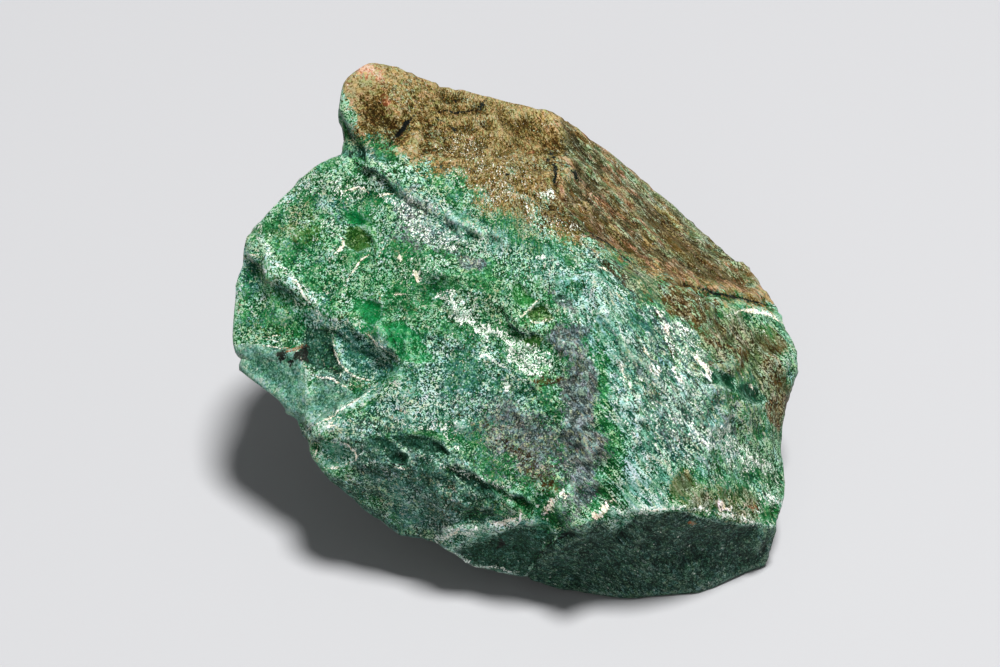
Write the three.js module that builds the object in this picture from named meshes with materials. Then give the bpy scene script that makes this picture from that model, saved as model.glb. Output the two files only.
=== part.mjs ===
// A raw lump of malachite rock, broken on every side and resting on its flattest face.
//
// It is one solid. Its shape is written down as a rockhound would describe it: corners, and the
// fracture faces that span them. Each face may be crowned or hollow, and each edge is sharp unless
// two faces run softly into each other. A sphere of even triangles is then laid over that shape from
// the inside, its vertices are pulled onto the sharp edges, and the grain of the rock is added.
//
// Millimetres, +Z up. X runs along the length, and the broad green face looks towards -Y and up.

import * as THREE from "three";
import { mergeVertices } from "three/addons/utils/BufferGeometryUtils.js";
import { ImprovedNoise } from "three/addons/math/ImprovedNoise.js";

// ---------------------------------------------------------------- driving dimensions

const LEAN = 40; // degrees: how far above the horizon the broad face looks
const FACE_HEIGHT = 28.95; // the broad face's own origin above the surface that the stone rests on
const SPHERE_DETAIL = 21; // 20 * (detail + 1)^2 triangles in all
const FRONT_BIAS = 0.2; // how much finer the triangles are on the broad face than behind it
const SOFTENING_PASSES = 3; // how often a face is evened out between its sharp edges

const SWELL = { size: 10, height: 0.5 }; // broad unevenness: its wavelength and its height
const HACKLE = { size: 3.4, height: 0.3 }; // the rough grain of a fresh break

// ---------------------------------------------------------------- frames

const lean = THREE.MathUtils.degToRad(LEAN);

// A point given on the broad face: x right, y up the face, z out of it.
function onFace(x, y, z) {
  return new THREE.Vector3(
    x,
    y * Math.sin(lean) - z * Math.cos(lean),
    FACE_HEIGHT + y * Math.cos(lean) + z * Math.sin(lean),
  );
}

// A direction given on the broad face.
function onFaceDirection(x, y, z) {
  return onFace(x, y, z).sub(onFace(0, 0, 0)).normalize();
}

// A point given as the stone rests: x right, y to the back, z up.
function atRest(x, y, z) {
  return new THREE.Vector3(x, y, z);
}

// The middle of the stone, from which every point of its surface can be seen.
const HEART = atRest(2, 5, 24);

// ---------------------------------------------------------------- corners

const corners = {
  // the knob at the top left
  neck: onFace(-22.6, 25.4, -3),
  neckUp: onFace(-21.9, 27.9, -4),
  knobLeft: onFace(-23.2, 32.6, -2),
  knobBrow: onFace(-22.1, 36.5, -3),
  knobTop: onFace(-19, 38.8, -4),
  knobBack: onFace(-14.8, 38.4, -7),
  // the crest along the back, falling to the right
  saddle: onFace(-8.8, 35.8, -11),
  crest: onFace(-1.2, 34.7, -15),
  hump: onFace(7.7, 33, -18),
  shoulder: onFace(15, 28.2, -22),
  flankHigh: onFace(22, 22.9, -25),
  flankMid: onFace(29.1, 16.9, -25),
  flankLow: onFace(36.1, 10.1, -22),
  heel: onFace(40.7, 4.5, -18),
  // the right end
  rightTip: onFace(43, -2, -12),
  rightLow: onFace(41.6, -11.5, -9),
  rightNotch: onFace(40.3, -15.5, -8),
  rightBulge: onFace(41.2, -21.6, -5),
  // the toe, which the stone stands on
  toeRight: onFace(39.2, -27.5, -1),
  toeCorner: onFace(37.9, -33.5, -4.9),
  toeFoot: onFace(28.6, -37.1, -0.8),
  toeFront: onFace(20, -37.8, 0),
  toeLeft: onFace(7.1, -35.3, 0),
  toeSide: onFace(-4.3, -31.6, 2),
  toeNotch: onFace(-8.1, -29.3, 4),
  // the belly and the keel, which overhang on the left
  bellyRight: onFace(-14.2, -28.5, 2),
  bellyLeft: onFace(-16.9, -26.7, 1.5),
  bellyHigh: onFace(-25.1, -19.3, 5),
  keelLow: onFace(-26.8, -16.6, 5),
  keel: onFace(-26.2, -13.9, 7),
  keelBack: onFace(-28.4, -12.3, 2),
  keelLeft: onFace(-31.6, -9.3, 1),
  leftLow: onFace(-37.7, -5, -3.5),
  leftTip: onFace(-38.4, -1.9, -3.5),
  leftMid: onFace(-38.1, 7, -5),
  leftBrow: onFace(-36.6, 14.1, -5),
  leftHigh: onFace(-31.4, 19.7, -5),
  leftNeck: onFace(-26.7, 24, -4),

  // the ledge under the knob: its lip, and its foot on the broad face
  lipA: onFace(-17.7, 23.5, 1.5),
  lipB: onFace(-14, 20.7, 3.5),
  lipC: onFace(-9.8, 18.2, 5.2),
  lipD: onFace(-5.5, 15.4, 6.6),
  lipE: onFace(0.8, 12.9, 7.6),
  footA: onFace(-18, 22.3, 0.6),
  footB: onFace(-14.4, 19.5, 2.2),
  footC: onFace(-10.2, 16.8, 3.8),
  footD: onFace(-5.8, 14, 5.2),
  footE: onFace(1.4, 11.4, 6.6),

  // the low ridge down the middle of the broad face
  brow: onFace(6.3, 10, 7.5),
  ridgeTop: onFace(13.7, 5.8, 9.5),
  ridgeHigh: onFace(16.4, 0.5, 11),
  ridgeMid: onFace(18, -9.2, 13),
  ridgeLow: onFace(19, -17.5, 13.5),
  ridgeFoot: onFace(19.3, -24.7, 13),

  // where the weathered flank dips away behind the broad face
  dipTop: onFace(7.8, 22.6, -6),
  dipHigh: onFace(9.9, 16.8, 0.5),
  dipMid: onFace(14.2, 10.8, 4.5),
  dipLow: onFace(19.8, 6.9, 4.5),
  dipRight: onFace(27.2, 4.8, 0),
  dipEnd: onFace(36.4, 4.4, -10.5),
  cheekHigh: onFace(27.5, 0.1, 5),
  cheekMid: onFace(31.9, -8.8, 4.6),
  cheekLow: onFace(35.8, -14.3, 2),

  // the scar on the left and the pale cheeks under it
  scarA: onFace(-32, 8.6, 0),
  scarB: onFace(-24.7, 2.4, 3),
  scarC: onFace(-19.8, -1.6, 4.5),
  scarD: onFace(-14.9, -4.8, 5),
  cheekA: onFace(-33.2, -1.8, -1),
  cheekB: onFace(-27.5, -4.8, 1.5),
  cheekC: onFace(-21.8, -8.8, 4.2),
  spurLow: onFace(-21.3, -10.2, 6.8),
  spurHigh: onFace(-16, -6.6, 6),

  // the brow over the belly
  browA: onFace(-21.8, -14.5, 8.5),
  browB: onFace(-16.2, -14.4, 9.5),
  browC: onFace(-10.5, -14.4, 10.5),
  browD: onFace(-6.3, -17.3, 11),
  browE: onFace(-2.1, -20.5, 11.5),
  browF: onFace(3.9, -23.3, 12),

  // the edge over the toe
  noseA: onFace(-3.5, -27.5, 8.5),
  noseB: onFace(2.8, -25.6, 11),
  noseC: onFace(8.4, -23.9, 12.5),
  edgeLow: onFace(6.3, -30.5, 8),
  edgeLeft: onFace(9.2, -27.7, 11),
  edgeMid: onFace(13.8, -25.1, 12.5),
  edgeRight: onFace(24.3, -24.9, 12),
  edgeFar: onFace(30.1, -25.8, 8),

  // the base
  baseFront: atRest(6, -19, 0),
  baseLeft: atRest(-8, -8, 0),
  baseLeftBack: atRest(-12, 5, 0),
  baseBackLeft: atRest(-5, 18, 0),
  baseBack: atRest(9, 25, 0),
  baseBackRight: atRest(23, 23, 0),
  baseRightBack: atRest(33, 13, 0),
  baseRight: atRest(36.5, -3, 0),

  // the edge behind the crest, which gives the slab its thickness
  knobRear: atRest(-17.5, 34.5, 49.5),
  knobSide: atRest(-22.3, 29.5, 46.2),
  neckRear: atRest(-21.6, 28.3, 38.6),
  crestRear: atRest(-3, 38.5, 40.5),
  humpRear: atRest(8.5, 39.5, 37.5),
  flankRear: atRest(27.5, 35.5, 21),
  heelRear: atRest(37.5, 25, 15.5),
  tipRear: atRest(42, 14, 13),

  // the back and the underside
  backLeft: atRest(-33, 23, 31),
  backMid: atRest(-16, 35, 31),
  backTall: atRest(3, 41, 26),
  backRight: atRest(19, 38.5, 17),
  backLow: atRest(32, 28, 10),
  underLeft: atRest(-35, 10.5, 20),
  underKeel: atRest(-22, -6, 9.5),
  underBack: atRest(-24, 19, 11),
};

// ---------------------------------------------------------------- faces
// Each face is its corners in order, and how far its middle is crowned (+) or hollowed (-) from flat.
// The middle is where the corners average out, unless the face says otherwise.

const faces = {
  broadLeft: {
    corners: [
      "leftBrow", "leftHigh", "leftNeck", "neck", "footA", "footB", "footC", "footD", "footE", "brow",
      "ridgeTop", "ridgeHigh", "ridgeMid", "ridgeLow", "ridgeFoot", "edgeMid", "noseC", "browF", "browE",
      "browD", "browC", "browB", "browA", "keel", "spurLow", "spurHigh", "scarD", "scarC", "scarB", "scarA",
    ],
    crown: 3.5,
  },
  broadRight: {
    corners: [
      "ridgeTop", "dipMid", "dipLow", "dipRight", "cheekHigh", "cheekMid", "cheekLow", "rightNotch", "rightBulge",
      "toeRight", "edgeFar", "edgeRight", "ridgeFoot", "ridgeLow", "ridgeMid", "ridgeHigh",
    ],
    middle: onFace(25.5, -11.5, 9),
    crown: 1.2,
  },
  saddleFace: { corners: ["footE", "lipE", "dipHigh", "dipMid", "ridgeTop", "brow"], crown: 0 },
  ledge: {
    corners: ["neck", "neckUp", "lipA", "lipB", "lipC", "lipD", "lipE", "footE", "footD", "footC", "footB", "footA"],
    crown: 0,
  },
  rind: {
    corners: [
      "neckUp", "knobLeft", "knobBrow", "knobTop", "knobBack", "saddle", "crest", "hump", "shoulder",
      "dipTop", "dipHigh", "lipE", "lipD", "lipC", "lipB", "lipA",
    ],
    crown: 1.5,
  },
  flank: {
    corners: [
      "shoulder", "flankHigh", "flankMid", "flankLow", "heel", "dipEnd", "dipRight", "dipLow", "dipMid",
      "dipHigh", "dipTop",
    ],
    crown: -1,
  },
  rightEnd: {
    corners: [
      "dipEnd", "heel", "rightTip", "rightLow", "rightNotch", "cheekLow", "cheekMid", "cheekHigh", "dipRight",
    ],
    crown: 1.5,
  },
  scar: {
    corners: [
      "leftBrow", "scarA", "scarB", "scarC", "scarD", "spurHigh", "spurLow", "cheekC", "cheekB", "cheekA",
      "leftTip", "leftMid",
    ],
    crown: -1.6,
  },
  leftCheek: {
    corners: ["leftTip", "cheekA", "cheekB", "keel", "keelBack", "keelLeft", "leftLow"],
    crown: 0.4,
  },
  smallCheek: { corners: ["cheekB", "cheekC", "spurLow", "keel"], crown: 0.2 },
  belly: {
    corners: [
      "keel", "browA", "browB", "browC", "browD", "browE", "browF", "noseB", "noseA", "toeNotch",
      "bellyRight", "bellyLeft", "bellyHigh", "keelLow",
    ],
    crown: 0.8,
  },
  nose: {
    corners: ["toeNotch", "noseA", "noseB", "browF", "noseC", "edgeMid", "edgeLeft", "edgeLow", "toeLeft", "toeSide"],
    crown: 0.4,
  },
  toe: {
    corners: [
      "edgeLow", "edgeLeft", "edgeMid", "ridgeFoot", "edgeRight", "edgeFar", "toeRight", "toeCorner",
      "toeFoot", "toeFront", "toeLeft",
    ],
    crown: 1,
  },
  base: {
    corners: [
      "toeFront", "toeFoot", "toeCorner", "baseRight", "baseRightBack", "baseBackRight", "baseBack",
      "baseBackLeft", "baseLeftBack", "baseLeft", "baseFront",
    ],
    crown: 0,
  },
  rightUnder: {
    corners: ["rightTip", "rightLow", "rightNotch", "rightBulge", "toeRight", "toeCorner", "baseRight", "tipRear"],
    crown: 0.6,
  },
  heelRoof: { corners: ["flankMid", "flankLow", "heel", "rightTip", "tipRear", "heelRear", "flankRear"], crown: 0.6 },
  crestRoof: { corners: ["crest", "hump", "shoulder", "humpRear", "crestRear"], crown: 0.5 },
  knobRoof: { corners: ["knobLeft", "knobBrow", "knobTop", "knobBack", "knobRear", "knobSide"], crown: 0.8 },
  saddleRoof: { corners: ["knobBack", "saddle", "crest", "crestRear", "knobRear"], crown: -0.5 },
  backUpper: {
    corners: ["shoulder", "flankHigh", "flankMid", "flankRear", "backRight", "backTall", "humpRear"],
    crown: -1.2,
  },
  backMain: { corners: ["knobRear", "crestRear", "humpRear", "backTall", "backMid"], crown: 0.8 },
  backShoulder: { corners: ["knobSide", "knobRear", "backMid", "backLeft", "neckRear"], crown: -0.6 },
  knobFlank: { corners: ["neck", "neckUp", "knobLeft", "knobSide", "neckRear"], crown: 0.3 },
  leftBack: { corners: ["leftBrow", "leftHigh", "leftNeck", "neck", "neckRear", "backLeft"], crown: 0.4 },
  leftSide: { corners: ["leftTip", "leftMid", "leftBrow", "backLeft", "underLeft"], crown: 0.8 },
  lowBackLeft: { corners: ["backLeft", "backMid", "baseBackLeft", "underBack"], crown: 1.6 },
  lowSide: { corners: ["backLeft", "underBack", "underLeft"], crown: -0.4 },
  lowBack: { corners: ["backMid", "backTall", "backRight", "baseBack", "baseBackLeft"], crown: -1.6 },
  lowBackRight: { corners: ["backRight", "flankRear", "heelRear", "backLow", "baseBackRight", "baseBack"], crown: 0.8 },
  lowRight: { corners: ["heelRear", "tipRear", "baseRight", "baseRightBack", "baseBackRight", "backLow"], crown: -0.8 },
  keelUnder: {
    corners: [
      "leftTip", "leftLow", "keelLeft", "keelBack", "keel", "keelLow", "bellyHigh", "bellyLeft", "underKeel",
      "underLeft",
    ],
    crown: 0.6,
  },
  leftUnder: {
    corners: ["underLeft", "underKeel", "baseLeft", "baseLeftBack", "baseBackLeft", "underBack"],
    crown: -0.6,
  },
  bellyUnder: {
    corners: ["underKeel", "bellyLeft", "bellyRight", "toeNotch", "toeSide", "toeLeft", "baseFront", "baseLeft"],
    crown: 0.4,
  },
  toeUnder: { corners: ["toeLeft", "toeFront", "baseFront"], crown: 0 },
};

// Faces that run into each other with no sharp edge between them.
const softEdges = [
  ["broadLeft", "broadRight"],
  ["broadLeft", "saddleFace"],
  ["broadRight", "saddleFace"],
  ["saddleFace", "rind"],
  ["saddleFace", "flank"],
  ["broadRight", "rightEnd"],
  ["smallCheek", "leftCheek"],
  ["ledge", "broadLeft"],
  ["ledge", "saddleFace"],
  ["lowSide", "lowBackLeft"],
];

// Shallow bites knocked out of the faces and edges: where, how wide, how deep, and which way they open.
const bites = [
  { at: onFace(-13.8, -16, 10), width: 5.5, depth: 0.9, opens: onFaceDirection(-0.1, -0.5, 1) },
  { at: onFace(-11.2, -14.9, 10.6), width: 5, depth: 0.7, opens: onFaceDirection(0, -0.2, 1) },
  { at: onFace(-9.2, -16.2, 10.6), width: 4.4, depth: 0.7, opens: onFaceDirection(0, -0.5, 1) },
  { at: onFace(-13.4, -24.3, 6.5), width: 10, depth: 0.9, opens: onFaceDirection(-0.2, -0.9, 0.8) },
  { at: onFace(-5.5, -25.5, 8.5), width: 7, depth: 0.7, opens: onFaceDirection(0, -0.9, 0.8) },
  { at: onFace(-20.5, -17.5, 7.8), width: 5, depth: 0.5, opens: onFaceDirection(-0.4, -0.8, 0.8) },
  { at: onFace(17.5, -25.6, 12.5), width: 5, depth: 0.7, opens: onFaceDirection(0, -0.5, 1) },
  { at: onFace(27.5, -25.2, 10.4), width: 6, depth: 0.7, opens: onFaceDirection(0.1, -0.6, 1) },
  { at: atRest(-26, 14, 19), width: 20, depth: 1.6, opens: new THREE.Vector3(-0.8, 0.2, -0.6).normalize() },
  { at: atRest(24, 34.5, 22), width: 22, depth: 1.5, opens: new THREE.Vector3(0.3, 0.9, 0.1).normalize() },
];

// ---------------------------------------------------------------- the shape as seen from its heart

// The faces as fans of triangles round their middles.
const fans = Object.entries(faces).flatMap(([face, { corners: names, middle: given, crown }]) => {
  const rim = names.map((name) => corners[name]);
  const average = rim.reduce((sum, p) => sum.add(p), new THREE.Vector3()).divideScalar(rim.length);
  const middle = given ?? average;
  return rim.map((a, i) => {
    const edgeA = a.clone().sub(middle);
    const edgeB = rim[(i + 1) % rim.length].clone().sub(middle);
    const start = HEART.clone().sub(middle);
    return { face, crown, edgeA, edgeB, start, lift: start.clone().cross(edgeA) };
  });
});

// Where a line from the heart meets one triangle of a fan: its distance, the face's crown included.
function meetFan({ crown, edgeA, edgeB, start, lift }, direction) {
  const across = direction.clone().cross(edgeB);
  const volume = edgeA.dot(across);
  if (Math.abs(volume) < 1e-9) return null;
  const toA = start.dot(across) / volume;
  const toB = direction.dot(lift) / volume;
  const distance = edgeB.dot(lift) / volume;
  if (toA < -1e-7 || toB < -1e-7 || toA + toB > 1 + 1e-7 || distance <= 0) return null;
  const inwards = 1 - toA - toB; // 0 on the rim of the face, 1 at its middle
  return distance + crown * inwards * (2 - inwards);
}

// Each bite as the ball that would fit it.
const balls = bites.map(({ at, width, depth, opens }, i) => {
  const radius = (width * width) / (8 * depth) + depth / 2;
  return { face: `bite${i}`, radius, centre: at.clone().addScaledVector(opens, radius - depth) };
});

// Where a line from the heart first meets a ball.
function meetBall({ centre, radius }, direction) {
  const toCentre = centre.clone().sub(HEART);
  const along = toCentre.dot(direction);
  const miss = toCentre.lengthSq() - along * along;
  if (along < 0 || miss > radius * radius) return null;
  return along - Math.sqrt(radius * radius - miss);
}

// How far the surface lies from the heart in a direction, and on which face.
function surfaceAlong(direction) {
  const best = { radius: 0, face: null };
  for (const fan of fans) {
    const radius = meetFan(fan, direction);
    if (radius !== null && radius > best.radius) Object.assign(best, { radius, face: fan.face });
  }
  for (const ball of balls) {
    const radius = meetBall(ball, direction);
    if (radius !== null && radius < best.radius) Object.assign(best, { radius, face: ball.face });
  }
  return best;
}

function pointAlong(direction) {
  return HEART.clone().addScaledVector(direction, surfaceAlong(direction).radius);
}

// ---------------------------------------------------------------- the sphere laid over it

const sphere = new THREE.IcosahedronGeometry(1, SPHERE_DETAIL);
sphere.deleteAttribute("normal");
sphere.deleteAttribute("uv");
const skin = mergeVertices(sphere, 1e-5);
const directions = [];
for (let i = 0; i < skin.attributes.position.count; i++) {
  const direction = new THREE.Vector3().fromBufferAttribute(skin.attributes.position, i).normalize();
  directions.push(direction.addScaledVector(onFaceDirection(0, 0, 1), FRONT_BIAS).normalize());
}
const neighbours = directions.map(() => new Set());
for (let i = 0; i < skin.index.count; i += 3) {
  for (const [j, k] of [[0, 1], [1, 2], [2, 0]]) {
    const a = skin.index.getX(i + j);
    const b = skin.index.getX(i + k);
    neighbours[a].add(b);
    neighbours[b].add(a);
  }
}

const softPairs = new Set(softEdges.flatMap(([a, b]) => [`${a} ${b}`, `${b} ${a}`]));
const isSharp = (a, b) => a !== b && !softPairs.has(`${a} ${b}`);

// The direction between two others in which one face gives way to the next.
function edgeBetween(from, to) {
  const face = surfaceAlong(from).face;
  const near = from.clone();
  const far = to.clone();
  for (let i = 0; i < 14; i++) {
    const half = near.clone().add(far).normalize();
    (surfaceAlong(half).face === face ? near : far).copy(half);
  }
  return near;
}

// Pulls the vertices beside each sharp edge onto it, and the nearest vertex onto each corner.
function pullOntoEdges() {
  const labels = directions.map((d) => surfaceAlong(d).face);
  const pulled = directions.map((d, i) => {
    let nearest = null;
    for (const j of neighbours[i]) {
      if (!isSharp(labels[i], labels[j])) continue;
      const edge = edgeBetween(d, directions[j]);
      const share = edge.distanceTo(d) / directions[j].distanceTo(d);
      if (share <= 0.5 && (!nearest || share < nearest.share)) nearest = { edge, share };
    }
    return nearest ? nearest.edge : null;
  });
  const onEdge = new Set();
  pulled.forEach((edge, i) => {
    if (!edge) return;
    directions[i].copy(edge);
    onEdge.add(i);
  });
  for (const corner of Object.values(corners)) {
    const direction = corner.clone().sub(HEART).normalize();
    let best = null;
    for (const i of onEdge) {
      const away = directions[i].distanceTo(direction);
      if (!best || away < best.away) best = { i, away };
    }
    if (best && best.away < 0.04) directions[best.i].copy(direction);
  }
  return { labels, onEdge };
}

const { labels, onEdge } = pullOntoEdges();
const points = directions.map(pointAlong);

// Evens out each face between its sharp edges, which rounds the soft edges over.
function soften() {
  const target = points.map((p, i) => {
    if (onEdge.has(i) || labels[i] === "base") return p.clone();
    const mean = new THREE.Vector3();
    neighbours[i].forEach((j) => mean.add(points[j]));
    return mean.divideScalar(neighbours[i].size).lerp(p, 0.4);
  });
  points.forEach((p, i) => p.copy(target[i]));
}
for (let pass = 0; pass < SOFTENING_PASSES; pass++) soften();

// ---------------------------------------------------------------- the grain of the rock

const noise = new ImprovedNoise();
const unevenness = ({ size, height }, p, seed) =>
  height * noise.noise(p.x / size + seed, p.y / size - seed, p.z / size + 2 * seed);

points.forEach((p, i) => {
  const outwards = p.clone().sub(HEART).normalize();
  const edge = onEdge.has(i) ? 0.6 : 1;
  p.addScaledVector(outwards, edge * (unevenness(SWELL, p, 3.7) + unevenness(HACKLE, p, 8.1)));
  if (labels[i] === "base" || p.z < 0) p.z = 0;
});

// ---------------------------------------------------------------- the stone

// Brings the stone's footprint round the origin, with the base at Z = 0.
function centred(geometry) {
  geometry.computeBoundingBox();
  const middle = geometry.boundingBox.getCenter(new THREE.Vector3());
  return geometry.translate(-middle.x, -middle.y, -geometry.boundingBox.min.z);
}

const shape = new THREE.BufferGeometry().setFromPoints(points);
shape.setIndex(skin.index);
centred(shape);
shape.computeVertexNormals();

const malachite = new THREE.MeshStandardMaterial({ color: 0x4d8a6a, roughness: 0.72, metalness: 0 });
const stone = new THREE.Mesh(shape, malachite);
stone.name = "stone";

const root = new THREE.Group();
root.name = "raw_malachite";
root.add(stone);

export default root;
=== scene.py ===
"""Raw malachite: the looks of a broken lump of green copper rock.

The CAD solid gives the stone its size, its faces and its edges. This script lays a finer skin over it,
carves the small relief of the breaks into that skin, paints soft layers of mineral on it by name, and
mixes those layers in one procedural material.

Places on the stone are written in millimetres on the plane of its broad face, x right and y up the face,
as they look from VIEWPOINT millimetres straight out from it. Lines and outlines are lists of such places.
"""

import math

import bmesh
import bpy
import numpy as np
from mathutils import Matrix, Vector, noise


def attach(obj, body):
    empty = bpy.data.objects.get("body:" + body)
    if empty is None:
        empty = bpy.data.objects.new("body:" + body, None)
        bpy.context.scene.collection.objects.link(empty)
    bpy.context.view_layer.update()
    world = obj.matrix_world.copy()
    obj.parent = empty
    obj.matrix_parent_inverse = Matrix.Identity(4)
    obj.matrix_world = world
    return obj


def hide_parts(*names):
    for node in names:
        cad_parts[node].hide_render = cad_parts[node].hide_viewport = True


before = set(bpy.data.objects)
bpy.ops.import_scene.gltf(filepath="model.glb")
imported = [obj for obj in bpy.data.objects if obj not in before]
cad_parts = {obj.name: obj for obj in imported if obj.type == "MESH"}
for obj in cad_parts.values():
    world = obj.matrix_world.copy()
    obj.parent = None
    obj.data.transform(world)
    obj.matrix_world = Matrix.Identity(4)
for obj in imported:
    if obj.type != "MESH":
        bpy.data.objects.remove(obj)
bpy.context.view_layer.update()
noise.seed_set(5)  # or the noise that shifts points would differ from run to run

MM = 0.001

# ---- the broad face's own frame

LEAN = math.radians(40)  # how far above the horizon the broad face looks
FACE_ORIGIN = np.array([-2.317, -7.349, 28.95])  # mm, in the part's frame
FACE_RIGHT = np.array([1, 0, 0])
FACE_UP = np.array([0, math.sin(LEAN), math.cos(LEAN)])
FACE_OUT = np.array([0, -math.cos(LEAN), math.sin(LEAN)])
VIEWPOINT = 414  # mm out from the face's origin, and the camera's place too

# ---- relief, mm

STEPS = {  # a line with the rock on its left standing up: points, rise, cut below it, reach on either side
    "ledge": ([(-22.3, 28.3), (-21.8, 26.5), (-20.8, 24.6), (-19.6, 23.6), (-17.1, 23.5), (-15.7, 22.2),
        (-15.1, 20.8)], 0.4, 0.6, 1.3),
    "tongue": ([(-15.7, 21.6), (-14.4, 19.8), (-12.6, 18.8), (-10.4, 18.2), (-9, 17.2)], 0.3, 0.16, 1.2),
    "shelf": ([(-10, 17.6), (-6.5, 15.9), (-3.2, 14.2), (0, 12.8)], 0.2, 0.08, 1.3),
    "scar": ([(-35.5, 16.8), (-34, 14.5), (-33.4, 11.9), (-32.1, 10.2), (-30, 8.4), (-28.6, 6.9),
        (-26.8, 4.8), (-25.4, 2.6)], 0.12, 0.04, 1.2),
    "flute": ([(-26.1, 1.9), (-22.6, -0.1), (-20, -2.4), (-17.1, -3.9), (-14.8, -4.9)], 0.12, 0.14, 1),
    "shell": ([(-24, 0.2), (-23.4, -3.4), (-22.6, -4.6), (-20.6, -6.4), (-18.2, -6.8)], 0.2, 0.2, 1.4),
    "cheek": ([(-22.1, -7.6), (-24.1, -6.5), (-27.3, -5.8), (-28.3, -3.5), (-29.1, -2.2), (-32, -2.1),
        (-36, -1.4)], 0.25, 0.35, 1.4),
    "belly": ([(-4.3, -19.5), (-2.4, -20.9), (0, -22.3), (2.8, -23.9), (4.6, -25.6)], 0.2, 0.5, 2),
    "gully": ([(-3.6, -22.6), (-5.1, -21.6), (-7.4, -19.8), (-9.4, -17.9)], 0.25, 0.35, 1.3),
    "nick": ([(-18.6, 14), (-17.4, 12.4), (-17.8, 10.6), (-19.6, 9)], 0.15, 0.25, 1.2),
}
SCARPS = {  # a facet that falls away on its line's right and ends in a lip: points, depth at the lip, width
    "toe face": ([(-7.6, -29.4), (-4, -28), (0.4, -27.8), (3, -27.2), (6, -28)], 0.5, 4.4),
    "knob brow": ([(-20, 34.4), (-16, 33), (-13, 31.2), (-9.6, 30.6)], 0.5, 2.6),
    "under the crest": ([(-9.4, 31.6), (-6, 31), (-2.4, 31.4), (1, 30)], 0.6, 2),
    "hairy brow": ([(-1, 24), (3, 23), (7, 21.6), (9.6, 18.4)], 0.6, 3),
    "left facet": ([(-34, 7), (-31, 5.6), (-28.6, 3), (-27, 0)], 0.1, 3),
    "mid facet": ([(-12, 8), (-8, 7), (-4.6, 4.4), (-2, 1)], 0.5, 3.4),
    "right facet": ([(17, 6), (19.6, 1), (21.6, -5), (24, -11)], 0.5, 3.6),
    "corner facet": ([(27, -8), (31, -12), (34.6, -15)], 0.6, 3),
}
RIDGES = {  # points, half width, height
    "keel": ([(-27.5, -13.8), (-26.3, -13), (-24.4, -12), (-22.4, -10.7), (-20.9, -9.7), (-17.5, -7.6)], 0.9,
        0.45),
    "toe": ([(-8.4, -29.3), (-5.9, -27.3), (-2.9, -27.5), (0.7, -27.2), (3, -26.2), (6, -27.6)], 0.8, 0.6),
    "white lip": ([(32.6, 2.6), (34.8, 3.4), (36.7, 3.2), (38.6, 2.6), (40.8, 1.2)], 0.6, 0.35),
    "fin": ([(-15.6, 12.9), (-17, 11.9), (-17.6, 10.4)], 0.5, 0.15),
    "apex": ([(1.6, 1.6), (3.3, 2.7), (5.6, 4.7)], 0.5, 0.25),
    "lens": ([(-24, -15.4), (-21.7, -15.8), (-20.6, -17.2), (-20.8, -18.1), (-22.7, -19.1)], 0.5, 0.2),
    "apron": ([(-15.8, 20.2), (-13.4, 18.6), (-10, 16.3), (-7, 14.3), (-4, 12.6)], 1.2, 0.4),
    "flank crest": ([(3.5, 33), (7.5, 30.5), (9.3, 26.5), (8.6, 22.4), (9.4, 18.6)], 1.4, 0.5),
}
CRACKS = {  # points, half width, depth
    "knob slit": ([(-15.8, 26.8), (-14.2, 28.9), (-13.3, 30.2), (-12, 31.4)], 0.5, 1.1),
    "crest crack": ([(-1.8, 33.6), (-2.6, 31.9), (-4.9, 31.7), (-7, 31.5), (-9.4, 31.7)], 0.4, 0.7),
    "under the flank": ([(25, 7.2), (28, 6.6), (31.4, 5.6), (35.2, 4.9), (40, 3.6)], 0.7, 0.9),
    "toe step": ([(17.6, -26.4), (17.2, -28), (16.4, -30)], 0.5, 0.5),
    "nose": ([(4.2, -33.6), (6.3, -30.6), (9.5, -28.6), (12, -27.4)], 0.5, 0.4),
    "flank notch": ([(7, 22.4), (8.4, 19.6), (10.4, 17.4)], 0.5, 0.6),
    "rind rift": ([(-20, 34.5), (-17, 33), (-13.5, 31.6), (-9.5, 29.8), (-4, 27), (1.5, 25.6)], 0.5, 0.3),
}
HOLLOWS = [  # x, y, half length, half width, turn in degrees, depth
    (-27.5, 1.5, 6.5, 3, -42, 0.1), (-24.6, -4.2, 3.4, 2, -62, 0.3), (-21.4, -3.4, 3.2, 1.3, -50, 0.1),
    (-18.2, -1.7, 3.2, 1.1, -40, 0.1), (-32.5, -5.6, 4.6, 3, -25, 0.4), (-24.8, -9, 2.6, 2, 30, 0.5),
    (-23.4, -17.4, 2.8, 2.1, 10, 0.1), (-15, -17.4, 2.4, 1.3, -30, 0.2), (-12, -24.6, 5, 3, -30, 0.4),
    (-3, -30.2, 4.4, 2, -12, 0.5), (-2.6, -24.8, 4, 1.8, -30, 0.4), (13.5, -30.4, 5, 2.4, 15, 0.4),
    (25.5, -30.5, 7, 3, 10, 0.4), (-19.7, 4.1, 4, 2.8, -55, 0.5), (-21, 16.6, 1.9, 1.3, -15, 0.35),
    (-20.4, 13.6, 2, 1.6, 0, 0.3), (-15.4, 2.2, 2.6, 1.8, -60, 0.35), (-28.6, 13.4, 4.5, 3.4, 30, 0.35),
    (-35.6, 9, 2.4, 4.4, 5, 0.15), (3.6, 5.4, 1.8, 1.3, -30, 0.45), (6, 3, 2.2, 1.4, 15, 0.5),
    (9.5, -8, 7, 2.2, -80, 0.35), (23, -9, 7, 3, -58, 0.35), (32.4, -6.4, 1.6, 1.2, -40, 0.5),
    (36.6, -8.6, 1.7, 1.1, -40, 0.6), (36.6, -2, 4.5, 3, -70, 0.4), (-18, 33.6, 3.2, 2.2, 35, 0.2),
    (-7, 33.6, 2.4, 1.1, -12, 0.8), (-9, 28.4, 4.5, 1.6, -25, 0.5), (3, 29, 4.5, 2.2, -20, 0.5),
    (8.6, 26.4, 3, 1.8, -35, 0.5),
]
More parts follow.
